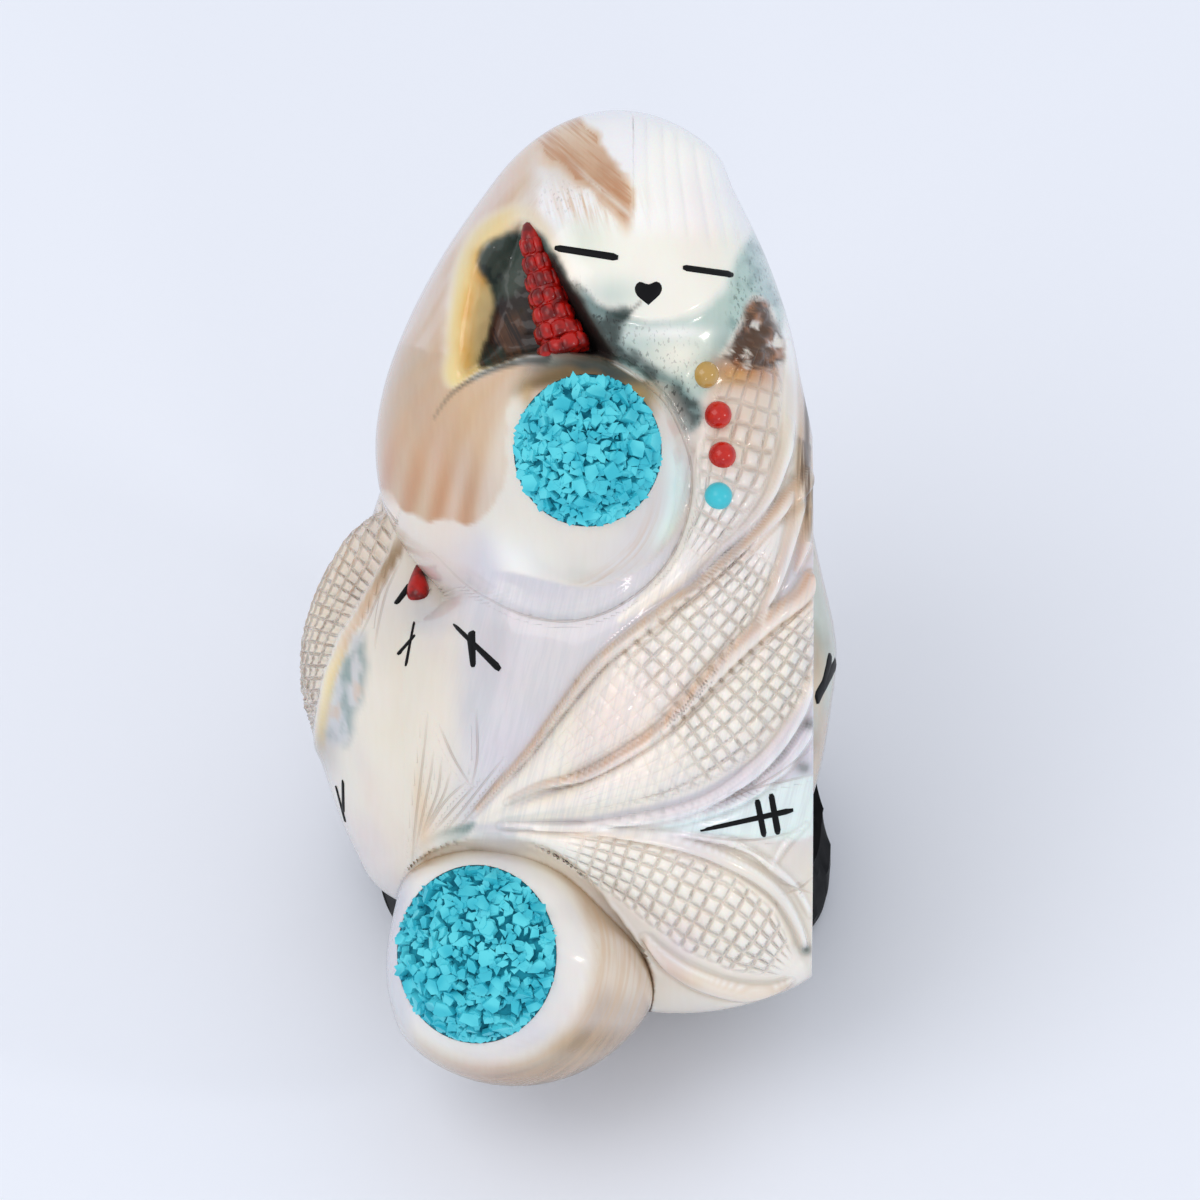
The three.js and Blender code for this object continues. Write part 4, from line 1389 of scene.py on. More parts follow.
KNOB_SHADOW = [(-20.4, 22.2), (-18.6, 24.9), (-16.2, 26.9), (-12.9, 28.6), (-9.4, 29.6), (-7, 29.8)]
PANEL_TRIANGLE = [(6.7, -28), (16, -25), (26, -21.5), (26, -28.8), (16, -28.9)]


def zone(outline, x, y, soft, rough, size, seed):
    """A zone's mask: its edge is soft over one distance and wanders over another."""
    inside = within(outline, x, y, np.max(soft) + rough + 1) + rough * ragged(x, y, size, seed)
    return smoothstep(inside, -soft, soft)


def spot(x, y, at_x, at_y, wide, tall):
    """A soft round mask."""
    return np.exp(-(((x - at_x) / wide) ** 2) - ((y - at_y) / tall) ** 2)


def stream(y):
    """How far the streaks of the head have moved across at each height."""
    return np.interp(y, STREAM_HEIGHT, STREAM_SHIFT)


class Brush:
    """Colours laid on the vertices of the shell, and streaks that its material draws finely."""

    def __init__(self, count):
        self.tint = np.tile(CREAM, (count, 1))
        self.stain = np.tile(BROWN, (count, 1))
        self.amount = np.zeros(count)
        self.grain = np.zeros((count, 3))
        self.area = np.ones(count)

    def lay(self, colour, mask):
        self.tint += (colour - self.tint) * (np.clip(mask, 0, 1) * self.area)[:, None]

    def clear(self):
        """Takes the streaks off the area."""
        self.amount *= 1 - self.area

    def streak(self, colour, amount, across, along):
        """Streaks of a colour, by how strong they are and the place across and along them."""
        amount = np.clip(amount, 0, 1) * self.area
        chosen = amount > self.amount
        self.stain[chosen] = colour
        self.grain[chosen] = np.column_stack([across, along, 0 * across])[chosen]
        self.amount = np.maximum(amount, self.amount * (1 - self.area * (amount > 0)))


def vertex_places(piece):
    """The places of a piece's vertices in the leaning frame."""
    points = np.empty(len(piece.data.vertices) * 3)
    piece.data.vertices.foreach_get("co", points)
    return to_leaning(points.reshape(-1, 3))


def hollowness(piece):
    """How much each vertex lies in a groove: positive in grooves, negative on ridges."""
    mesh = piece.data
    count = len(mesh.vertices)
    points, normals = np.empty(count * 3), np.empty(count * 3)
    mesh.vertices.foreach_get("co", points)
    mesh.vertices.foreach_get("normal", normals)
    points, normals = points.reshape(-1, 3) / MM, normals.reshape(-1, 3)
    edges = np.empty(len(mesh.edges) * 2, int)
    mesh.edges.foreach_get("vertices", edges)
    a, b = edges.reshape(-1, 2).T
    both, other = np.concatenate([a, b]), np.concatenate([b, a])
    degree = np.maximum(np.bincount(both, minlength=count), 1)

    def average(values):
        return np.bincount(both, weights=values[other], minlength=count) / degree

    smooth = points
    for _ in range(4):
        smooth = np.column_stack([average(smooth[:, k]) for k in range(3)])
    hollow = ((smooth - points) * normals).sum(1)
    for _ in range(3):
        hollow = average(hollow)
    return hollow


def head_colours(brush, x, y):
    """Tan flank, brown tongue, and white hair and face."""
    across = x - stream(y)
    brush.clear()
    brush.lay(WHITE, smoothstep(y, 26, 31))
    flank = zone(FLANK, x, y, 1.4, 0.7, 3, 1)
    brush.lay(TAN, flank * 0.6)
    broad_bands = ragged(across / 2.4, y / 14, 1, 2)
    brush.lay(TAN, flank * (0.25 + 0.55 * smoothstep(broad_bands, -0.3, 0.4)))
    brush.lay(CREAM, flank * bell(across, -24.4, 1.1) * smoothstep(y, 34, 44) * 0.8)
    brush.streak(BROWN, flank * (0.72 - 0.25 * smoothstep(y, 42, 52)), across, y)
    streaked = zone(STREAKED, x, y, 0.35, 0.5, 1.6, 3)
    band = 0.5 + 0.5 * np.cos(2 * math.pi * (across + 12.9) / BAND_PITCH)
    brush.lay(PINK_TAN, streaked * 0.9)
    low = smoothstep(-y, -24, -12)
    brush.lay(HORN, streaked * smoothstep(-x, 19, 23) * 0.8)
    brush.lay(TAN, streaked * band * (0.4 + 0.4 * low))
    brush.lay(BROWN, streaked * band * low * smoothstep(-x, 13, 16) * 0.6)
    brush.lay(TAN, streaked * spot(x, y, -17, 22, 5, 7) * 0.7)
    brush.streak(BROWN, streaked * (0.75 + 0.2 * low) * smoothstep(-x, 10.5, 14), across, y)
    tongue = zone(TONGUE, x, y, 0.5 + 0.5 * smoothstep(-x - y, -53, -49), 0.5, 1.3, 5)
    core = tongue * smoothstep(x * 0.66 + y * 0.75, 35.5, 37.6) * smoothstep(-x - 0.25 * y, -16.6, -14.6)
    core *= smoothstep(-y, -58, -52)
    brush.lay(CREAM, spot(x, y, -5, 52.5, 3, 2.5) * 0.9)
    brush.lay(SAND, tongue * 0.95)
    brush.lay(BROWN, core * (0.65 + 0.3 * ragged(x + y, x - y, 4, 6)))
    brush.streak(BROWN, tongue * 0.6, x * 0.66 + y * 0.75, x * 0.75 - y * 0.66)
    pale = bell(x * 0.66 + y * 0.75, 37.6, 0.3) * smoothstep(x, -5, -2)
    brush.lay(CREAM, tongue * pale * 0.7)
    fringe = spot(x, y, -1.2, 48.4, 5, 2.4) * (1 - tongue)
    brush.streak(TAN, fringe * 0.8, x * 0.9 + 0.25 * y, y)
    face = smoothstep(x, -5, -2) * between(y, 33, 35, 43, 47)
    brush.lay(FACE, face * 0.8)
    brush.lay(GREEN_CREAM, spot(x, y, -2.4, 44, 3.4, 3) * 0.9)
    brush.lay(PALE_TEAL, spot(x, y, 1.5, 37.2, 3.6, 2.2) * 0.6)


def neck_colours(brush, x, y):
    """Blue-green under the chin and up the cheek, darkest beside the knob; a thin painted highlight under
    the chin.
    """
    neck = zone(NECK, x, y, 0.8, 0.6, 3, 7)
    brush.lay(PALE_TEAL, neck * 0.85)
    brush.lay(FACE, spot(x, y, 9.6, 29.8, 3.6, 2.6) * neck * 0.95)
    # A thin white line under the chin is a painted highlight.
    brush.lay(WHITE, spot(x, y, 9.0, 32.6, 4.6, 0.8) * neck * 0.8)
    brush.lay(TEAL, spot(x, y, 15.6, 30, 2.2, 4.2) * neck * 0.55)
    cheek = zone(CHEEK, x, y, 0.6, 0.5, 2, 9)
    brush.lay(PALE_TEAL, cheek * 0.9)
    brush.lay(TEAL, cheek * smoothstep(ragged(x, y, 1.6, 10), -0.1, 0.5) * 0.6)
    shade = zone(BY_KNOB, x, y, 0.7, 0.5, 1.6, 11)
    brush.lay(TEAL, shade * 0.95)
    brush.lay(DEEP_TEAL, shade * smoothstep(ragged(x, y, 1.6, 12), -0.3, 0.3) * 0.85)
    line = Course([(4.9, 36.2), (3.8, 35.2), (2.6, 33.8)]).locate(x, y)[1]
    brush.lay(DEEP_TEAL, bell(line, 0, 0.22) * 0.6)


def recess_colours(brush, x, y):
    """Straw and amber on the slope to its left, moss green above, and black behind the corn that is partly
    painted shade.
    """
    above = smoothstep(over_knob(x, y), -0.3, 0.3)
    slope = smoothstep(within(RECESS, x, y, 5), -2.0, -0.2) * above * smoothstep(-x, 1, 7)
    brush.lay(CREAM, slope)
    left = smoothstep(-x, 9, 12.5)
    brush.lay(STRAW, slope * (0.35 + 0.65 * left))
    middle = Course([(-16.4, 28), (-16.4, 33), (-15.6, 38), (-14.8, 42)]).locate(x, y)[1]
    brush.lay(AMBER, slope * bell(middle, 0, 1.1) * (0.7 + 0.5 * ragged(x, y, 2.5, 25)))
    brush.lay(AMBER, spot(x, y, -14.4, 39.6, 0.9, 1.3))
    cleft = within(CLEFT, x, y, 3) + 0.35 * ragged(x, y, 1.4, 20)
    floor = smoothstep(cleft, -0.5, 0.6) * above
    brush.lay(MOSS, floor)
    facet = np.floor(1.4 * ragged(x * 1.5 + y * 0.4, y, 3, 24) + 0.5)
    brush.lay(TEAL, floor * 0.3 * (facet > 0))
    brush.lay(DEEP_TEAL, floor * 0.8 * (facet < 0))
    # Black low down behind the corn and to its right: partly the recess's own dark colour, partly painted
    # shade.
    low = smoothstep(ragged(x, y, 2.2, 21) * 1.5 + (37.6 - y) + 0.8 * (x + 11), -0.8, 1.2)
    brush.lay(BLACK, floor * low)
    wood = floor * low * smoothstep(-y, -36, -33.6) * smoothstep(-x, 8.5, 10)
    brush.streak(DARK_BROWN, wood, x + 0.5 * y, 0.5 * x - y)
    brush.lay(BROWN, wood * spot(x + 0.4 * y, y, 0.9, 31.9, 0.35, 1.3) * 0.8)
    brush.lay(MOSS, floor * smoothstep(-y, -31.6, -30.4) * smoothstep(-x, 11, 12.5) * 0.8)


def knob_colours(brush, x, y):
    """Dark at its upper rim, olive and gold below that, pearly white lower down and a painted highlight on
    its right.
    """
    right = (x - KNOB["x"]) / (KNOB["width"] / 2)
    up = (y - KNOB["y"]) / (KNOB["height"] / 2)
    under = -over_knob(x, y)
    on_knob = smoothstep(np.hypot(right, up), 1.14, 0.86) * smoothstep(under, -0.3, 0.2)
    tan_side = smoothstep(-x, 8, 13) * smoothstep(y, 8, 12)
    brush.lay(CREAM, on_knob * smoothstep(x, -16, -12) * (1 - 0.5 * tan_side))
    brush.lay(PEARL, on_knob * smoothstep(right - up, 0.3, 1.0) * 0.8)
    brush.lay(WHITE, spot(x, y, -13, 4, 7, 4) * on_knob)
    top = on_knob * between(x, -12.5, -9, 4.4, 8)
    brush.lay(TAN, top * smoothstep(under, 6.2, 4) * 0.8)
    brush.lay(OLIVE, top * smoothstep(under + 0.5 * ragged(x, y, 2, 30), 5.2, 3.4))
    brush.lay(GOLD, spot(x, y, -8.8, 24.6, 0.8, 1.6) * 0.6)
    brush.lay(DEEP_TEAL, top * smoothstep(under + 0.4 * ragged(x, y, 1.8, 31), 2.6, 1.2) * 0.95)
    brush.lay(GOLD, spot(x, y, 4.0, 25.1, 2.6, 1.3) * 0.8)
    brush.lay(TEAL, top * spot(x, y, -6, 29.3, 1.4, 0.8) * 0.6)
    sweep = Course(KNOB_SHADOW)
    along, aside = sweep.locate(x, y)
    wide = 0.1 + 0.6 * np.clip(along / sweep.length, 0, 1)
    shadow = smoothstep(wide - np.abs(aside + wide * 0.8), -0.2, 0.4)
    brush.lay(DEEP_TEAL, shadow * smoothstep(under, -0.5, 0) * 0.85)
    edge = Course(KNOB_EDGE).locate(x, y)[1]
    # A pale mint line just inside the knob's right edge is a painted highlight.
    painted_highlight = bell(edge, 1.8, 1.4) * between(y, 5, 9, 16, 21) * (x > 0)
    brush.lay(MINT, painted_highlight * on_knob)
    rim = bell(edge, 0.9, 0.7) * smoothstep(-y, -14, -4) * smoothstep(x, -9, -2)
    brush.lay(TAN, rim * 0.55)
    brush.streak(LINE_BROWN, rim * 0.7, edge * 1.4, x)
    ring = bell(edge, 4.2, 1.2) * smoothstep(x - y, -8, 0)
    brush.streak(TAN, ring * 0.5, edge * 0.9, x)


def husk_colours(brush, x, y):
    """Cream ears with tan and pink leaves between them; down each leaf a painted highlight on one side and
    brown, partly painted shadow, on the other.
    """
    for ear in EARS.values():
        inside = near(Course(ear["path"]), x, y, 7)
        _, across, half, _ = ear_places(ear, x[inside], y[inside])
        mask = np.zeros_like(x)
        mask[inside] = smoothstep((1 - np.abs(across)) * half, -0.3, 0.4)
        brush.lay(EAR_CREAM, mask)
    for husk in HUSKS:
        inside, aside, half, ends = husk_places(husk, x, y)
        mask = np.zeros_like(x)
        mask[inside] = smoothstep(half + 0.3 - np.abs(aside), 0, 0.4) * ends
        brush.lay(SAND, mask * husk["brown"] * 0.9)
        # Brown down one side of each leaf: partly its own colour, partly painted shadow. White down the
        # other side: a painted highlight.
        mask[inside] = bell(aside, -0.5 * half, 0.45) * ends
        brush.lay(HUSK_BROWN, mask * husk["brown"] * 0.75)
        mask[inside] = bell(aside, 0.6 * half, 0.3) * ends
        brush.lay(WHITE, mask * (0.9 - 0.5 * husk["brown"]))


def body_colours(brush, x, y):
    """Silvery pearl in the middle, grey painted shade in the fold at its left, and tints of pink and green
    among the leaves.
    """
    middle = smoothstep(-y, -11, -5) * smoothstep(x, -21, -14) * smoothstep(y, -32, -26)
    brush.lay(PEARL, middle)
    # Grey along the fold where the left body meets the middle: painted shade.
    painted_valley_shade = bell(x - 0.35 * (y + 8), -13.6, 2.2) * between(y, -20, -12, -4, -1)
    brush.lay(SILVER, painted_valley_shade * 0.55)
    brush.streak(SILVER, middle * 0.3, x - 0.25 * y, y)
    husk_colours(brush, x, y)
    brush.lay(MINT, zone(PANEL_TRIANGLE, x, y, 0.3, 0.1, 2, 45) * 0.8)
    brush.lay(TEAL, zone(WEDGE, x, y, 0.35, 0.15, 2, 40) * 0.9)
    edge = smoothstep(x, 23.2, 24.8) * between(y, 4, 12, 35, 39)
    brush.lay(TAN, edge * 0.6)
    brush.lay(DARK_BROWN, bell(x, 25.4, 0.45) * between(y, 12, 16, 33, 37) * 0.9)
    brush.streak(DARK_BROWN, edge * 0.8, x, y)
    for notch_x, notch_y in ((25.6, -15.3), (24.8, -20.5), (25.4, -43)):
        brush.lay(MOSS, spot(x, y, notch_x, notch_y, 0.8, 0.7) * 0.9)


def ear_tip_colours(brush, x, y):
    """The broken brown tip of the upper ear, with chalky crumbs, and the kernels below it: brown stain,
    then pinkish tan.
    """
    upper_ear_band = between(x, 12.6, 14, 21.4, 22.8)
    brush.lay(PINK_TAN, upper_ear_band * between(y, 9, 20, 28, 30) * 0.5)
    brush.lay(BROWN, spot(x, y, 18, 28, 4.6, 1.9) * upper_ear_band)
    brush.lay(AMBER, spot(x, y, 16.4, 27.2, 2.4, 1.2) * 0.6)
    tip = zone(BROKEN_TIP, x, y, 0.5, 0.7, 1.6, 41)
    brush.lay(DARK_BROWN, tip)
    brush.lay(BROWN, tip * smoothstep(ragged(x, y, 1.5, 42), 0.0, 0.4) * 0.8)
    brush.lay(CREAM, tip * smoothstep(ragged(x, y, 1.2, 63), 0.15, 0.4))


def left_colours(brush, x, y):
    """The ear at the left edge, its border band, and the grey-green beside it."""
    ear_y, ear_x = np.array(SIDE_EAR[::-1]).T
    inner = np.interp(y, ear_y, ear_x)
    body = smoothstep(-x, 16, 21) * smoothstep(-y, -9, -3)
    brush.lay(CREAM, body * 0.8)
    on_ear = smoothstep(inner - x, -0.2, 0.5) * between(y, -19, -15, 11, 13)
    brush.lay(EAR_CREAM, on_ear)
    brush.lay(TAN, on_ear * 0.25)
    band = smoothstep(1.0 - np.abs(x - inner - 0.9), 0, 0.5) * between(y, -21, -15, 5, 9)
    brush.lay(TAN, band * 0.8)
    brush.lay(OLIVE, band * smoothstep(y, 0, 5) * 0.6)
    brush.lay(STRAW, band * smoothstep(-y, 4, 9) * 0.8)
    grey = zone(SIDE_GREY, x, y, 0.9, 0.4, 2, 50)
    brush.lay(SILVER, grey * 0.8)
    brush.lay(TEAL, grey * smoothstep(ragged(x * 1.6, y / 1.4, 2, 51), -0.2, 0.3) * 0.7)
    brush.lay(PINK_TAN, grey * smoothstep(ragged(x * 1.6, y / 1.4, 2, 52), 0.1, 0.5) * 0.7)
    low = spot(x, y, -34.5, -19, 2, 3)
    brush.lay(OLIVE, low * 0.5)
    brush.lay(SILVER, spot(x, y, -21.4, -1.4, 2.4, 2.6) * 0.6)
    fan = bell(x + 0.1 * y, -24.4, 1) * between(y, -36, -32, -26, -18)
    brush.lay(AMBER, fan * 0.3)


def lower_knob_colours(brush, x, y, depth):
    """A white face round the bed, beige beyond it and brown along the foot, the darkest brown partly
    painted shade.
    """
    reach = np.hypot(x + 13.7, (y + 43.7) / 1.04)
    on_knob = (LOWER_KNOB.dome(x, y) > -0.2) * smoothstep(-y, 29.2, 29.8)
    on_knob *= smoothstep(LOWER_KNOB.front(x, y) + 0.5 - depth, -0.3, 0.3)
    wander = 0.25 * ragged(x, y, 5, 60)
    brush.lay(CREAM, on_knob)
    brush.lay(PEARL, on_knob * smoothstep(12.4 - reach + wander, 0, 0.8) * 0.5)
    brush.lay(HORN, on_knob * smoothstep(reach + wander, 11.9, 13.6) * 0.9)
    round_it = 9 * np.arctan2(y + 43.7, x + 13.7)
    brush.streak(TAN, on_knob * smoothstep(reach, 12.8, 14) * 0.4, reach, round_it)
    # The darker brown crescent along the lower edge is partly the shell's own colour and partly painted
    # shade on its underside.
    crescent = smoothstep(reach + wander, 12.9, 15) * smoothstep(-y - 0.35 * x, 45.5, 49.5)
    brush.lay(DARK_HORN, on_knob * crescent)
    brush.lay(SILVER, on_knob * smoothstep(-x, 22, 24.5))
    # Olive along the knob's upper edge, in the crease where it meets the body.
    dirt = bell(reach, 13.6, 0.5) * spot(x, y, -12, -31, 5, 3)
    brush.lay(OLIVE, on_knob * dirt * 0.7)


def rear_colours(brush, x, y, depth):
    """The plain back, with blue-green and amber patches where the outer shell shows."""
    brush.lay(CREAM, np.ones_like(x))
    brush.lay(HORN, smoothstep(ragged(x, depth, 14, 70), -0.1, 0.5) * 0.5)
    side = smoothstep(x, 22, 26)
    brush.lay(HORN, side * 0.8)
    brush.lay(PALE_TEAL, side * smoothstep(ragged(y, depth, 8, 71), -0.1, 0.4) * 0.6)
    brush.lay(OLIVE, side * smoothstep(ragged(y, depth, 6, 72), 0.0, 0.5) * 0.35)


def speckled(x, y):
    """Where dark specks of dirt lie: on the neck, the cheek and the crown."""
    neck = zone(NECK, x, y, 1.5, 0.6, 2, 80) * smoothstep(-x - y, -46, -38)
    shade = zone(BY_KNOB, x, y, 1.2, 0.6, 2, 82)
    cheek = zone(CHEEK, x, y, 1, 0.6, 2, 81)
    return np.clip(0.3 * neck + 0.5 * cheek + 0.5 * shade + 0.25 * spot(x, y, -4.5, 49, 3, 2), 0, 1)


def kernel_grid(x, y, depth):
    """Rows and places of the kernels of every ear, and how strongly they show."""
    grid = np.tile([0, 0, 0, FAR_OUTSIDE], (len(x), 1))
    for ear in EARS.values():
        found = ear_of_corn(ear, x, y)[2]
        deeper = found[:, 3] > grid[:, 3]
        grid[deeper] = found[deeper]
    girth, along, strength = side_ear_places(x, y, depth)
    left = (y < 14) & (x < -19)
    found = np.column_stack([girth / SIDE_KERNEL[0], along / SIDE_KERNEL[1], 1.6 * strength])
    grid[left, :3] = found[left]
    return grid[:, :3]


def fine_lines(x, y):
    """Groups of lines that keep apart: the distance to the nearest with its side, and its strength."""
    groups = np.zeros((LINE_GROUPS, len(x), 3))
    groups[:, :, 0] = 1.5
    for number, path in enumerate([KNOB_EDGE] + CUTS):
        distance, strength = line_places(path, x, y)
        group = groups[number % LINE_GROUPS]
        stronger = strength > group[:, 1]
        group[stronger, 0], group[stronger, 1] = distance[stronger], strength[stronger]
    return groups


def leaf_edges(x, y):
    """The distance to the nearest edge of a leaf, negative on the leaf itself."""
    distance = np.full_like(x, 2)
    for husk in HUSKS:
        inside, aside, half, _ = husk_places(husk, x, y)
        distance[inside] = np.minimum(distance[inside], np.abs(aside) - half - 0.1)
    return distance


def paint_shell(shell):
    """Stores the colours, streaks, kernels and fine lines of the shell on its vertices."""
    x, y, depth = vertex_places(shell)
    front = smoothstep(depth - base_front(x, y), -17, -6)
    front = np.maximum(front, smoothstep(LOWER_KNOB.dome(x, y), 0, 0.1) * (y < -30) * (depth > 38))
    front = np.maximum(front, smoothstep(depth, 26, 34) * (x < -20) * (y < 14))
    brush = Brush(len(x))
    body_colours(brush, x, y)
    left_colours(brush, x, y)
    head = smoothstep(HEAD.front(x, y) + knob_swelling(x, y) - PANEL.front(x, y), -0.6, 0.2)
    head = np.maximum(head, smoothstep(y, 27, 29)) * smoothstep(y, -4, 0)
    brush.area = head * (1 - smoothstep(within(BROKEN_TIP, x, y, 2), -0.6, 0.2))
    for colours in (head_colours, neck_colours, knob_colours, recess_colours):
        colours(brush, x, y)
    brush.area = np.ones_like(x)
    ear_tip_colours(brush, x, y)
    lower_knob_colours(brush, x, y, depth)
    hollow = hollowness(shell)
    brush.area = 1 - head
    # Brown in the hollows of the relief is partly dirt and partly painted shade; white on its ridges is
    # partly wear and partly painted highlight.
    brush.lay(LINE_BROWN, smoothstep(hollow, 0.02, 0.14) * 0.18)
    brush.lay(WHITE, smoothstep(-hollow, 0.02, 0.1) * 0.35)
    brush.area = 1 - front
    rear_colours(brush, x, y, depth)

    def store(name, kind, field, values):
        made = shell.data.attributes.new(name, kind, "POINT")
        made.data.foreach_set(field, np.ascontiguousarray(values).ravel())

    carved = kernel_grid(x, y, depth) * np.column_stack([np.ones((len(x), 2)), front])
    store("tint", "FLOAT_COLOR", "color", np.column_stack([brush.tint, np.ones(len(x))]))
    store("stain", "FLOAT_COLOR", "color", np.column_stack([brush.stain, brush.amount * front]))
    store("grain", "FLOAT_VECTOR", "vector", brush.grain)
    store("kernels", "FLOAT_VECTOR", "vector", carved)
    shown = np.column_stack([np.ones_like(x), front, front])
    for number, group in enumerate(fine_lines(x, y)):
        store(f"lines_{number}", "FLOAT_VECTOR", "vector", group * shown)
    store("leaves", "FLOAT", "value", leaf_edges(x, y) + 2 * (1 - front))
    store("specks", "FLOAT", "value", speckled(x, y) * front)


# Materials

def plain_material(name, colour, roughness, coat=0.0, subsurface=0.0, shine=0.5):
    material = bpy.data.materials.new(name)
    material.use_nodes = True
    shader = material.node_tree.nodes["Principled BSDF"]
    shader.inputs["Base Color"].default_value = (*colour, 1)
    shader.inputs["Roughness"].default_value = roughness
    shader.inputs["Specular IOR Level"].default_value = shine
    shader.inputs["Coat Weight"].default_value = coat
    shader.inputs["Coat Roughness"].default_value = 0.06
    shader.inputs["Subsurface Weight"].default_value = subsurface
    shader.inputs["Subsurface Scale"].default_value = 0.0012
    return material


class Wiring:
    """The nodes of a material, with a short call for each kind."""

    def __init__(self, material):
        self.nodes, self.links = material.node_tree.nodes, material.node_tree.links
        self.shader = self.nodes["Principled BSDF"]

    def put(self, socket, value):
        """Links a socket to another one, or gives it a plain value."""
        if isinstance(value, bpy.types.NodeSocket):
            self.links.new(value, socket)
        else:
            socket.default_value = value

    def maths(self, operation, *values):
        node = self.nodes.new("ShaderNodeMath")
        node.operation = operation
        for socket, value in zip(node.inputs, values):
            self.put(socket, value)
        return node.outputs["Value"]

    def attribute(self, name, output):
        node = self.nodes.new("ShaderNodeAttribute")
        node.attribute_name = name
        return node.outputs[output]

    def split(self, vector):
        node = self.nodes.new("ShaderNodeSeparateXYZ")
        self.put(node.inputs["Vector"], vector)
        return node.outputs["X"], node.outputs["Y"], node.outputs["Z"]

    def place(self, grain, turn=0.0):
        """Places in the part's own frame, leaning with the carving, stretched to this grain a metre."""
        node = self.nodes.new("ShaderNodeTexCoord")
        return self.stretch(node.outputs["Object"], grain, (-LEAN, 0, turn))

    def stretch(self, place, scale, turn=(0, 0, 0)):
        node = self.nodes.new("ShaderNodeMapping")
        node.inputs["Rotation"].default_value = turn
        node.inputs["Scale"].default_value = scale
        self.put(node.inputs["Vector"], place)
        return node.outputs["Vector"]

    def noise(self, place, detail=3):
        node = self.nodes.new("ShaderNodeTexNoise")
        node.inputs["Scale"].default_value = 1
        node.inputs["Detail"].default_value = detail
        self.put(node.inputs["Vector"], place)
        return node.outputs["Fac"]

    def ease(self, value, low, high):
        """0 where a value is low and 1 where it is high, with a smooth way between."""
        node = self.nodes.new("ShaderNodeMapRange")
        node.interpolation_type = "SMOOTHSTEP"
        self.put(node.inputs["From Min"], low)
        self.put(node.inputs["From Max"], high)
        self.put(node.inputs["Value"], value)
        return node.outputs["Result"]

    def mix(self, amount, first, second, blend="MIX"):
        node = self.nodes.new("ShaderNodeMix")
        node.data_type = "RGBA"
        node.blend_type = blend
        self.put(node.inputs["Factor"], amount)
        self.put(node.inputs["A"], first)
        self.put(node.inputs["B"], second)
        return node.outputs["Result"]


def opaque(colour):
    """A colour with its full cover added, as a node's socket takes it."""
    return (*colour, 1)


def mottled(material, dark, light, grain, detail=5):
    """Gives a material a colour that wanders between two, in this many patches a metre."""
    wires = Wiring(material)
    patches = wires.ease(wires.noise(wires.place((grain, grain, grain)), detail), 0.35, 0.65)
    wires.put(wires.shader.inputs["Base Color"], wires.mix(patches, opaque(dark), opaque(light)))
    return material


def nacre(wires, colour):
    """Drifts of pink, green and lavender over a colour, with fine growth lines."""
    for turn, tint in ((0.4, srgb(253, 238, 243)), (1.7, srgb(248, 248, 242)), (2.9, srgb(240, 240, 255))):
        drift = wires.noise(wires.place((70, 34, 50), turn), 2)
        amount = wires.maths("MULTIPLY", wires.ease(drift, 0.46, 0.7), 0.55)
        colour = wires.mix(amount, colour, opaque(tint), "MULTIPLY")
    lines = wires.ease(wires.noise(wires.place((1700, 240, 240), 0.5), 4), 0.3, 0.7)
    shade = wires.mix(lines, (0.42, 0.41, 0.40, 1), (0.58, 0.58, 0.59, 1))
    return wires.mix(0.15, colour, shade, "OVERLAY")


def streaked(wires, colour):
    """Streaks of the stain along the grain: broad ones broken up by fine ones."""
    grain = wires.attribute("grain", "Vector")
    broad = wires.noise(wires.stretch(grain, (0.8, 0.09, 1)), 2)
    fine = wires.noise(wires.stretch(grain, (3.2, 0.22, 1)), 3)
    both = wires.maths("ADD", wires.maths("MULTIPLY", broad, 0.55), wires.maths("MULTIPLY", fine, 0.45))
    amount = wires.maths("MULTIPLY", wires.ease(both, 0.42, 0.6), wires.attribute("stain", "Alpha"))
    return wires.mix(amount, colour, wires.attribute("stain", "Color"))


def kernel_grooves(wires):
    """1 on the grooves between kernels and 0 on their tops, and their rounded, tilted height."""
    row, place, strength = wires.split(wires.attribute("kernels", "Vector"))
    to_row, to_place = (wires.maths("PINGPONG", value, 0.5) for value in (row, place))
    to_groove = wires.maths("MINIMUM", to_row, to_place)
    top = wires.ease(to_groove, 0.0, 0.12)
    grooves = wires.maths("MULTIPLY", wires.maths("SUBTRACT", 1, top), strength)
    rounded = wires.ease(to_groove, 0.0, 0.2)
    kernel = wires.nodes.new("ShaderNodeCombineXYZ")
    wires.put(kernel.inputs["X"], wires.maths("FLOOR", row))
    wires.put(kernel.inputs["Y"], wires.maths("FLOOR", place))
    chance = wires.nodes.new("ShaderNodeTexWhiteNoise")
    wires.put(chance.inputs["Vector"], kernel.outputs["Vector"])
    first, second, _ = wires.split(chance.outputs["Color"])

    def slope(value, steepness):
        from_middle = wires.maths("SUBTRACT", wires.maths("FRACT", value), 0.5)
        return wires.maths("MULTIPLY", from_middle, wires.maths("SUBTRACT", steepness, 0.5))

    slopes = wires.maths("ADD", slope(row, first), slope(place, second))
    tilted = wires.maths("MULTIPLY_ADD", slopes, 2.2, rounded)
    return grooves, wires.maths("MULTIPLY", tilted, strength)


def cut_lines(wires):
    """1 on the fine lines and 0 beside them."""
    away = wires.ease(wires.maths("ABSOLUTE", wires.attribute("leaves", "Fac")), 0.0, 0.32)
    lines = wires.maths("MULTIPLY", wires.maths("SUBTRACT", 1, away), 0.4)
    for number in range(LINE_GROUPS):
        distance, strength, _ = wires.split(wires.attribute(f"lines_{number}", "Vector"))
        away = wires.ease(wires.maths("ABSOLUTE", distance), 0.05, 0.2)
        line = wires.maths("MULTIPLY", wires.maths("SUBTRACT", 1, away), strength)
        lines = wires.maths("MAXIMUM", lines, line)
    return lines


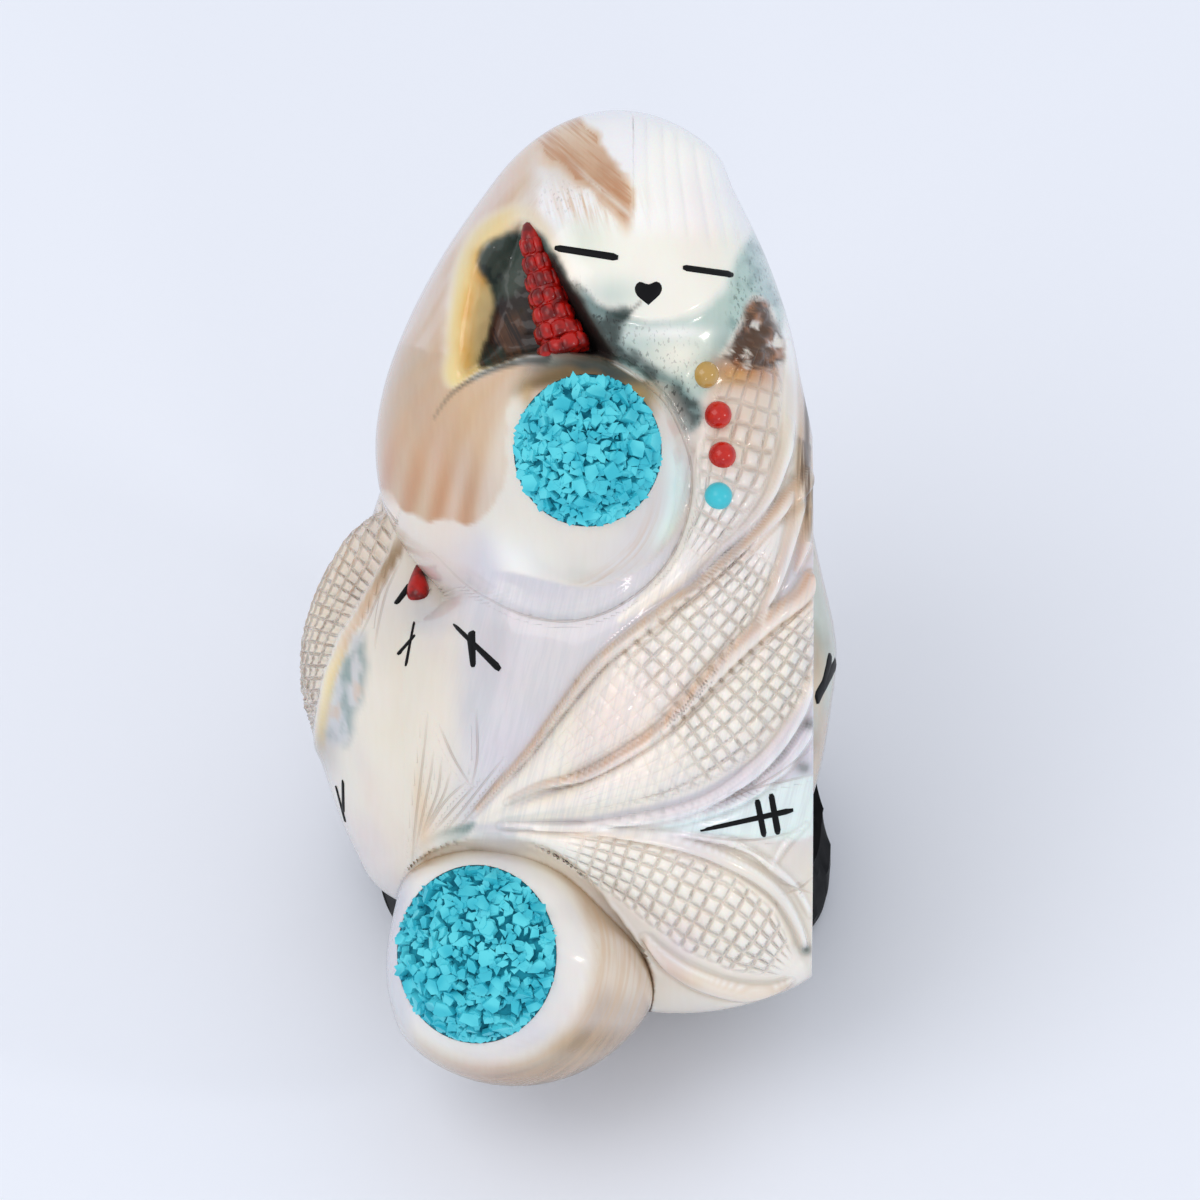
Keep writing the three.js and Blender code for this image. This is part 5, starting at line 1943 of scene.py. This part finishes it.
def pearly_shell():
    """Mother of pearl: the painted tint with streaks, fine lines and specks, under a clear gloss."""
    material = plain_material("pearly_shell", CREAM, 0.2, coat=0.45, subsurface=0.1)
    wires = Wiring(material)
    wires.shader.inputs["Thin Film Thickness"].default_value = 430
    wires.shader.inputs["Thin Film IOR"].default_value = 1.45
    colour = streaked(wires, nacre(wires, wires.attribute("tint", "Color")))
    grooves, kernels = kernel_grooves(wires)
    lines = cut_lines(wires)
    patchy = wires.ease(wires.noise(wires.place((420, 420, 420), 0.3), 2), 0.3, 0.7)
    dirty = wires.maths("MULTIPLY_ADD", patchy, 0.34, 0.06)
    colour = wires.mix(wires.maths("MULTIPLY", grooves, dirty), colour, opaque(GROOVE_TAN))
    # Brown along the cuts, the knob's edge and the leaf edges: partly their own colour, partly painted
    # shade in the cuts.
    colour = wires.mix(wires.maths("MULTIPLY", lines, 0.3), colour, opaque(LINE_BROWN))
    dots = wires.ease(wires.noise(wires.place((2600, 1500, 1500), 0.9), 5), 0.57, 0.64)
    dirt = wires.maths("MULTIPLY", dots, wires.attribute("specks", "Fac"))
    colour = wires.mix(dirt, colour, opaque(DEEP_TEAL * 0.6))
    wires.put(wires.shader.inputs["Base Color"], colour)
    grey = wires.nodes.new("ShaderNodeRGBToBW")
    wires.put(grey.inputs["Color"], colour)
    dull = wires.maths("SUBTRACT", 1, wires.ease(grey.outputs["Val"], 0.04, 0.4))
    wires.put(wires.shader.inputs["Roughness"], wires.maths("MULTIPLY_ADD", dull, 0.5, 0.2))
    bump = wires.nodes.new("ShaderNodeBump")
    bump.inputs["Strength"].default_value = 1
    bump.inputs["Distance"].default_value = 0.22 * MM
    wires.put(bump.inputs["Height"], wires.maths("MULTIPLY_ADD", lines, -0.35, kernels))
    wires.put(wires.shader.inputs["Normal"], bump.outputs["Normal"])
    return material


def turquoise_chips():
    """Crushed stone, a little lighter and darker from chip to chip."""
    material = plain_material("turquoise_chips", srgb(70, 198, 214), 0.45, shine=0.35)
    return mottled(material, srgb(56, 190, 208), srgb(92, 216, 228), 300, 1)


def turquoise_dust_and_shade():
    """The dark dust and glue between the chips, its darkness partly painted shade between them."""
    material = plain_material("turquoise_dust_and_shade", srgb(20, 120, 138), 0.8, shine=0.1)
    return mottled(material, srgb(10, 96, 116), srgb(34, 142, 160), 900)


def dark_coral():
    material = plain_material("dark_coral", CORAL_RED, 0.3, coat=0.25, shine=0.3)
    return mottled(material, srgb(104, 3, 2), srgb(180, 14, 4), 600, 3)


def red_coral():
    material = plain_material("red_coral", srgb(196, 24, 8), 0.22, coat=0.3, shine=0.35)
    return mottled(material, srgb(184, 18, 6), srgb(204, 34, 14), 500)


def black_polish():
    """Polished black stone with faint clouds."""
    material = plain_material("black_polish", (0.01, 0.01, 0.012), 0.4, shine=0.03)
    return mottled(material, (0.003, 0.003, 0.004), (0.009, 0.009, 0.01), 240)


def black_filling():
    return plain_material("black_filling", (0.003, 0.003, 0.0035), 0.5, shine=0.15)


# Stage

# Square lamps: name, place, side length and power.
LAMPS = (
    ("soft_key", (-0.5, -0.3, 1.0), 0.7, 2.8),
    ("soft_side", (0.87, -0.35, 0.45), 0.12, 0.8),
    ("low_front", (0.15, -0.95, 0.34), 0.12, 0.6),
)
CAMERA_ELEVATION = math.radians(50)
CAMERA_DISTANCE = 3
FOCAL_LENGTH = 733
LOOKED_AT = (0, 0, 50)


def floor_and_lights():
    """A pale floor in an evenly lit room, with three soft lamps."""
    bpy.ops.mesh.primitive_plane_add(size=9)
    floor = bpy.context.object
    floor.name = "floor"
    floor.data.materials.append(plain_material("pale_floor", (0.87, 0.90, 0.97), 0.9, shine=0.1))
    world = bpy.data.worlds.new("room")
    world.use_nodes = True
    sky = world.node_tree.nodes["Background"]
    sky.inputs["Color"].default_value = (0.93, 0.95, 1, 1)
    sky.inputs["Strength"].default_value = 0.8
    bpy.context.scene.world = world
    for lamp in LAMPS:
        softbox(*lamp)


def softbox(name, place, size, power):
    """A square lamp that faces the part."""
    lamp = bpy.data.lights.new(name, "AREA")
    lamp.size = size
    lamp.energy = power
    made = bpy.data.objects.new(name, lamp)
    made.location = place
    toward = Vector(place) - Vector((0, 0, 0.05))
    made.rotation_euler = toward.to_track_quat("Z", "Y").to_euler()
    bpy.context.scene.collection.objects.link(made)


def camera():
    """A long lens that looks down on the front of the part."""
    lens = bpy.data.cameras.new("camera")
    lens.lens = FOCAL_LENGTH
    lens.sensor_width = 36
    made = bpy.data.objects.new("camera", lens)
    target = Vector(to_world([LOOKED_AT])[0])
    out = Vector((0, -math.cos(CAMERA_ELEVATION), math.sin(CAMERA_ELEVATION)))
    made.location = target + out * CAMERA_DISTANCE
    made.rotation_euler = out.to_track_quat("Z", "Y").to_euler()
    bpy.context.scene.collection.objects.link(made)
    bpy.context.scene.camera = made
    bpy.context.scene.view_settings.view_transform = "Standard"


def dress(piece, material, slot, *nodes):
    """Gives a piece its material, and has it ride in place of its solids; its slot is not used."""
    piece.data.materials.clear()
    piece.data.materials.append(material)
    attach(piece, "root")
    if nodes:
        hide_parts(*nodes)


def coral_pieces():
    """The ear of corn in the recess, and the drop."""
    dress(coral_corn(), dark_coral(), "dark_coral", "coral_corn_ear")
    dress(coral_drop(), dark_coral(), "dark_coral", "coral_teardrop")


def turquoise_beds():
    """Both beds: the chips and the dark dust under them, partly painted shade."""
    chips, bedding = turquoise_chips(), turquoise_dust_and_shade()
    beds = ((UPPER_BED, "upper", 3), (LOWER_BED, "lower", 8))
    for bed, name, seed in beds:
        dress(crushed_turquoise(bed, name + "_chips", seed), chips, "turquoise", "turquoise_chips_" + name)
    for bed, name, _ in beds:
        dress(bed_floor(bed, name + "_chip_bed"), bedding, "turquoise", "turquoise_chips_" + name)


def beads():
    """The row of four beads, in the order of their nodes."""
    amber = plain_material("amber", srgb(190, 150, 76), 0.12, coat=0.5)
    red = red_coral()
    blue = plain_material("turquoise_bead", srgb(60, 196, 210), 0.3)
    looks = ((amber, "amber"), (red, "coral"), (red, "coral"), (blue, "turquoise"))
    for node, (material, slot) in zip(BEADS, looks):
        dress(bead(node), material, slot, node)


shell = shell_piece()
paint_shell(shell)
inlay = black_inlay(shell)
dress(shell, pearly_shell(), "shell", "shell_carving")
dress(inlay, black_filling(), "black_stone")
dress(stone_base(), black_polish(), "black_stone", "black_stone_base")
coral_pieces()
turquoise_beds()
beads()
floor_and_lights()
camera()
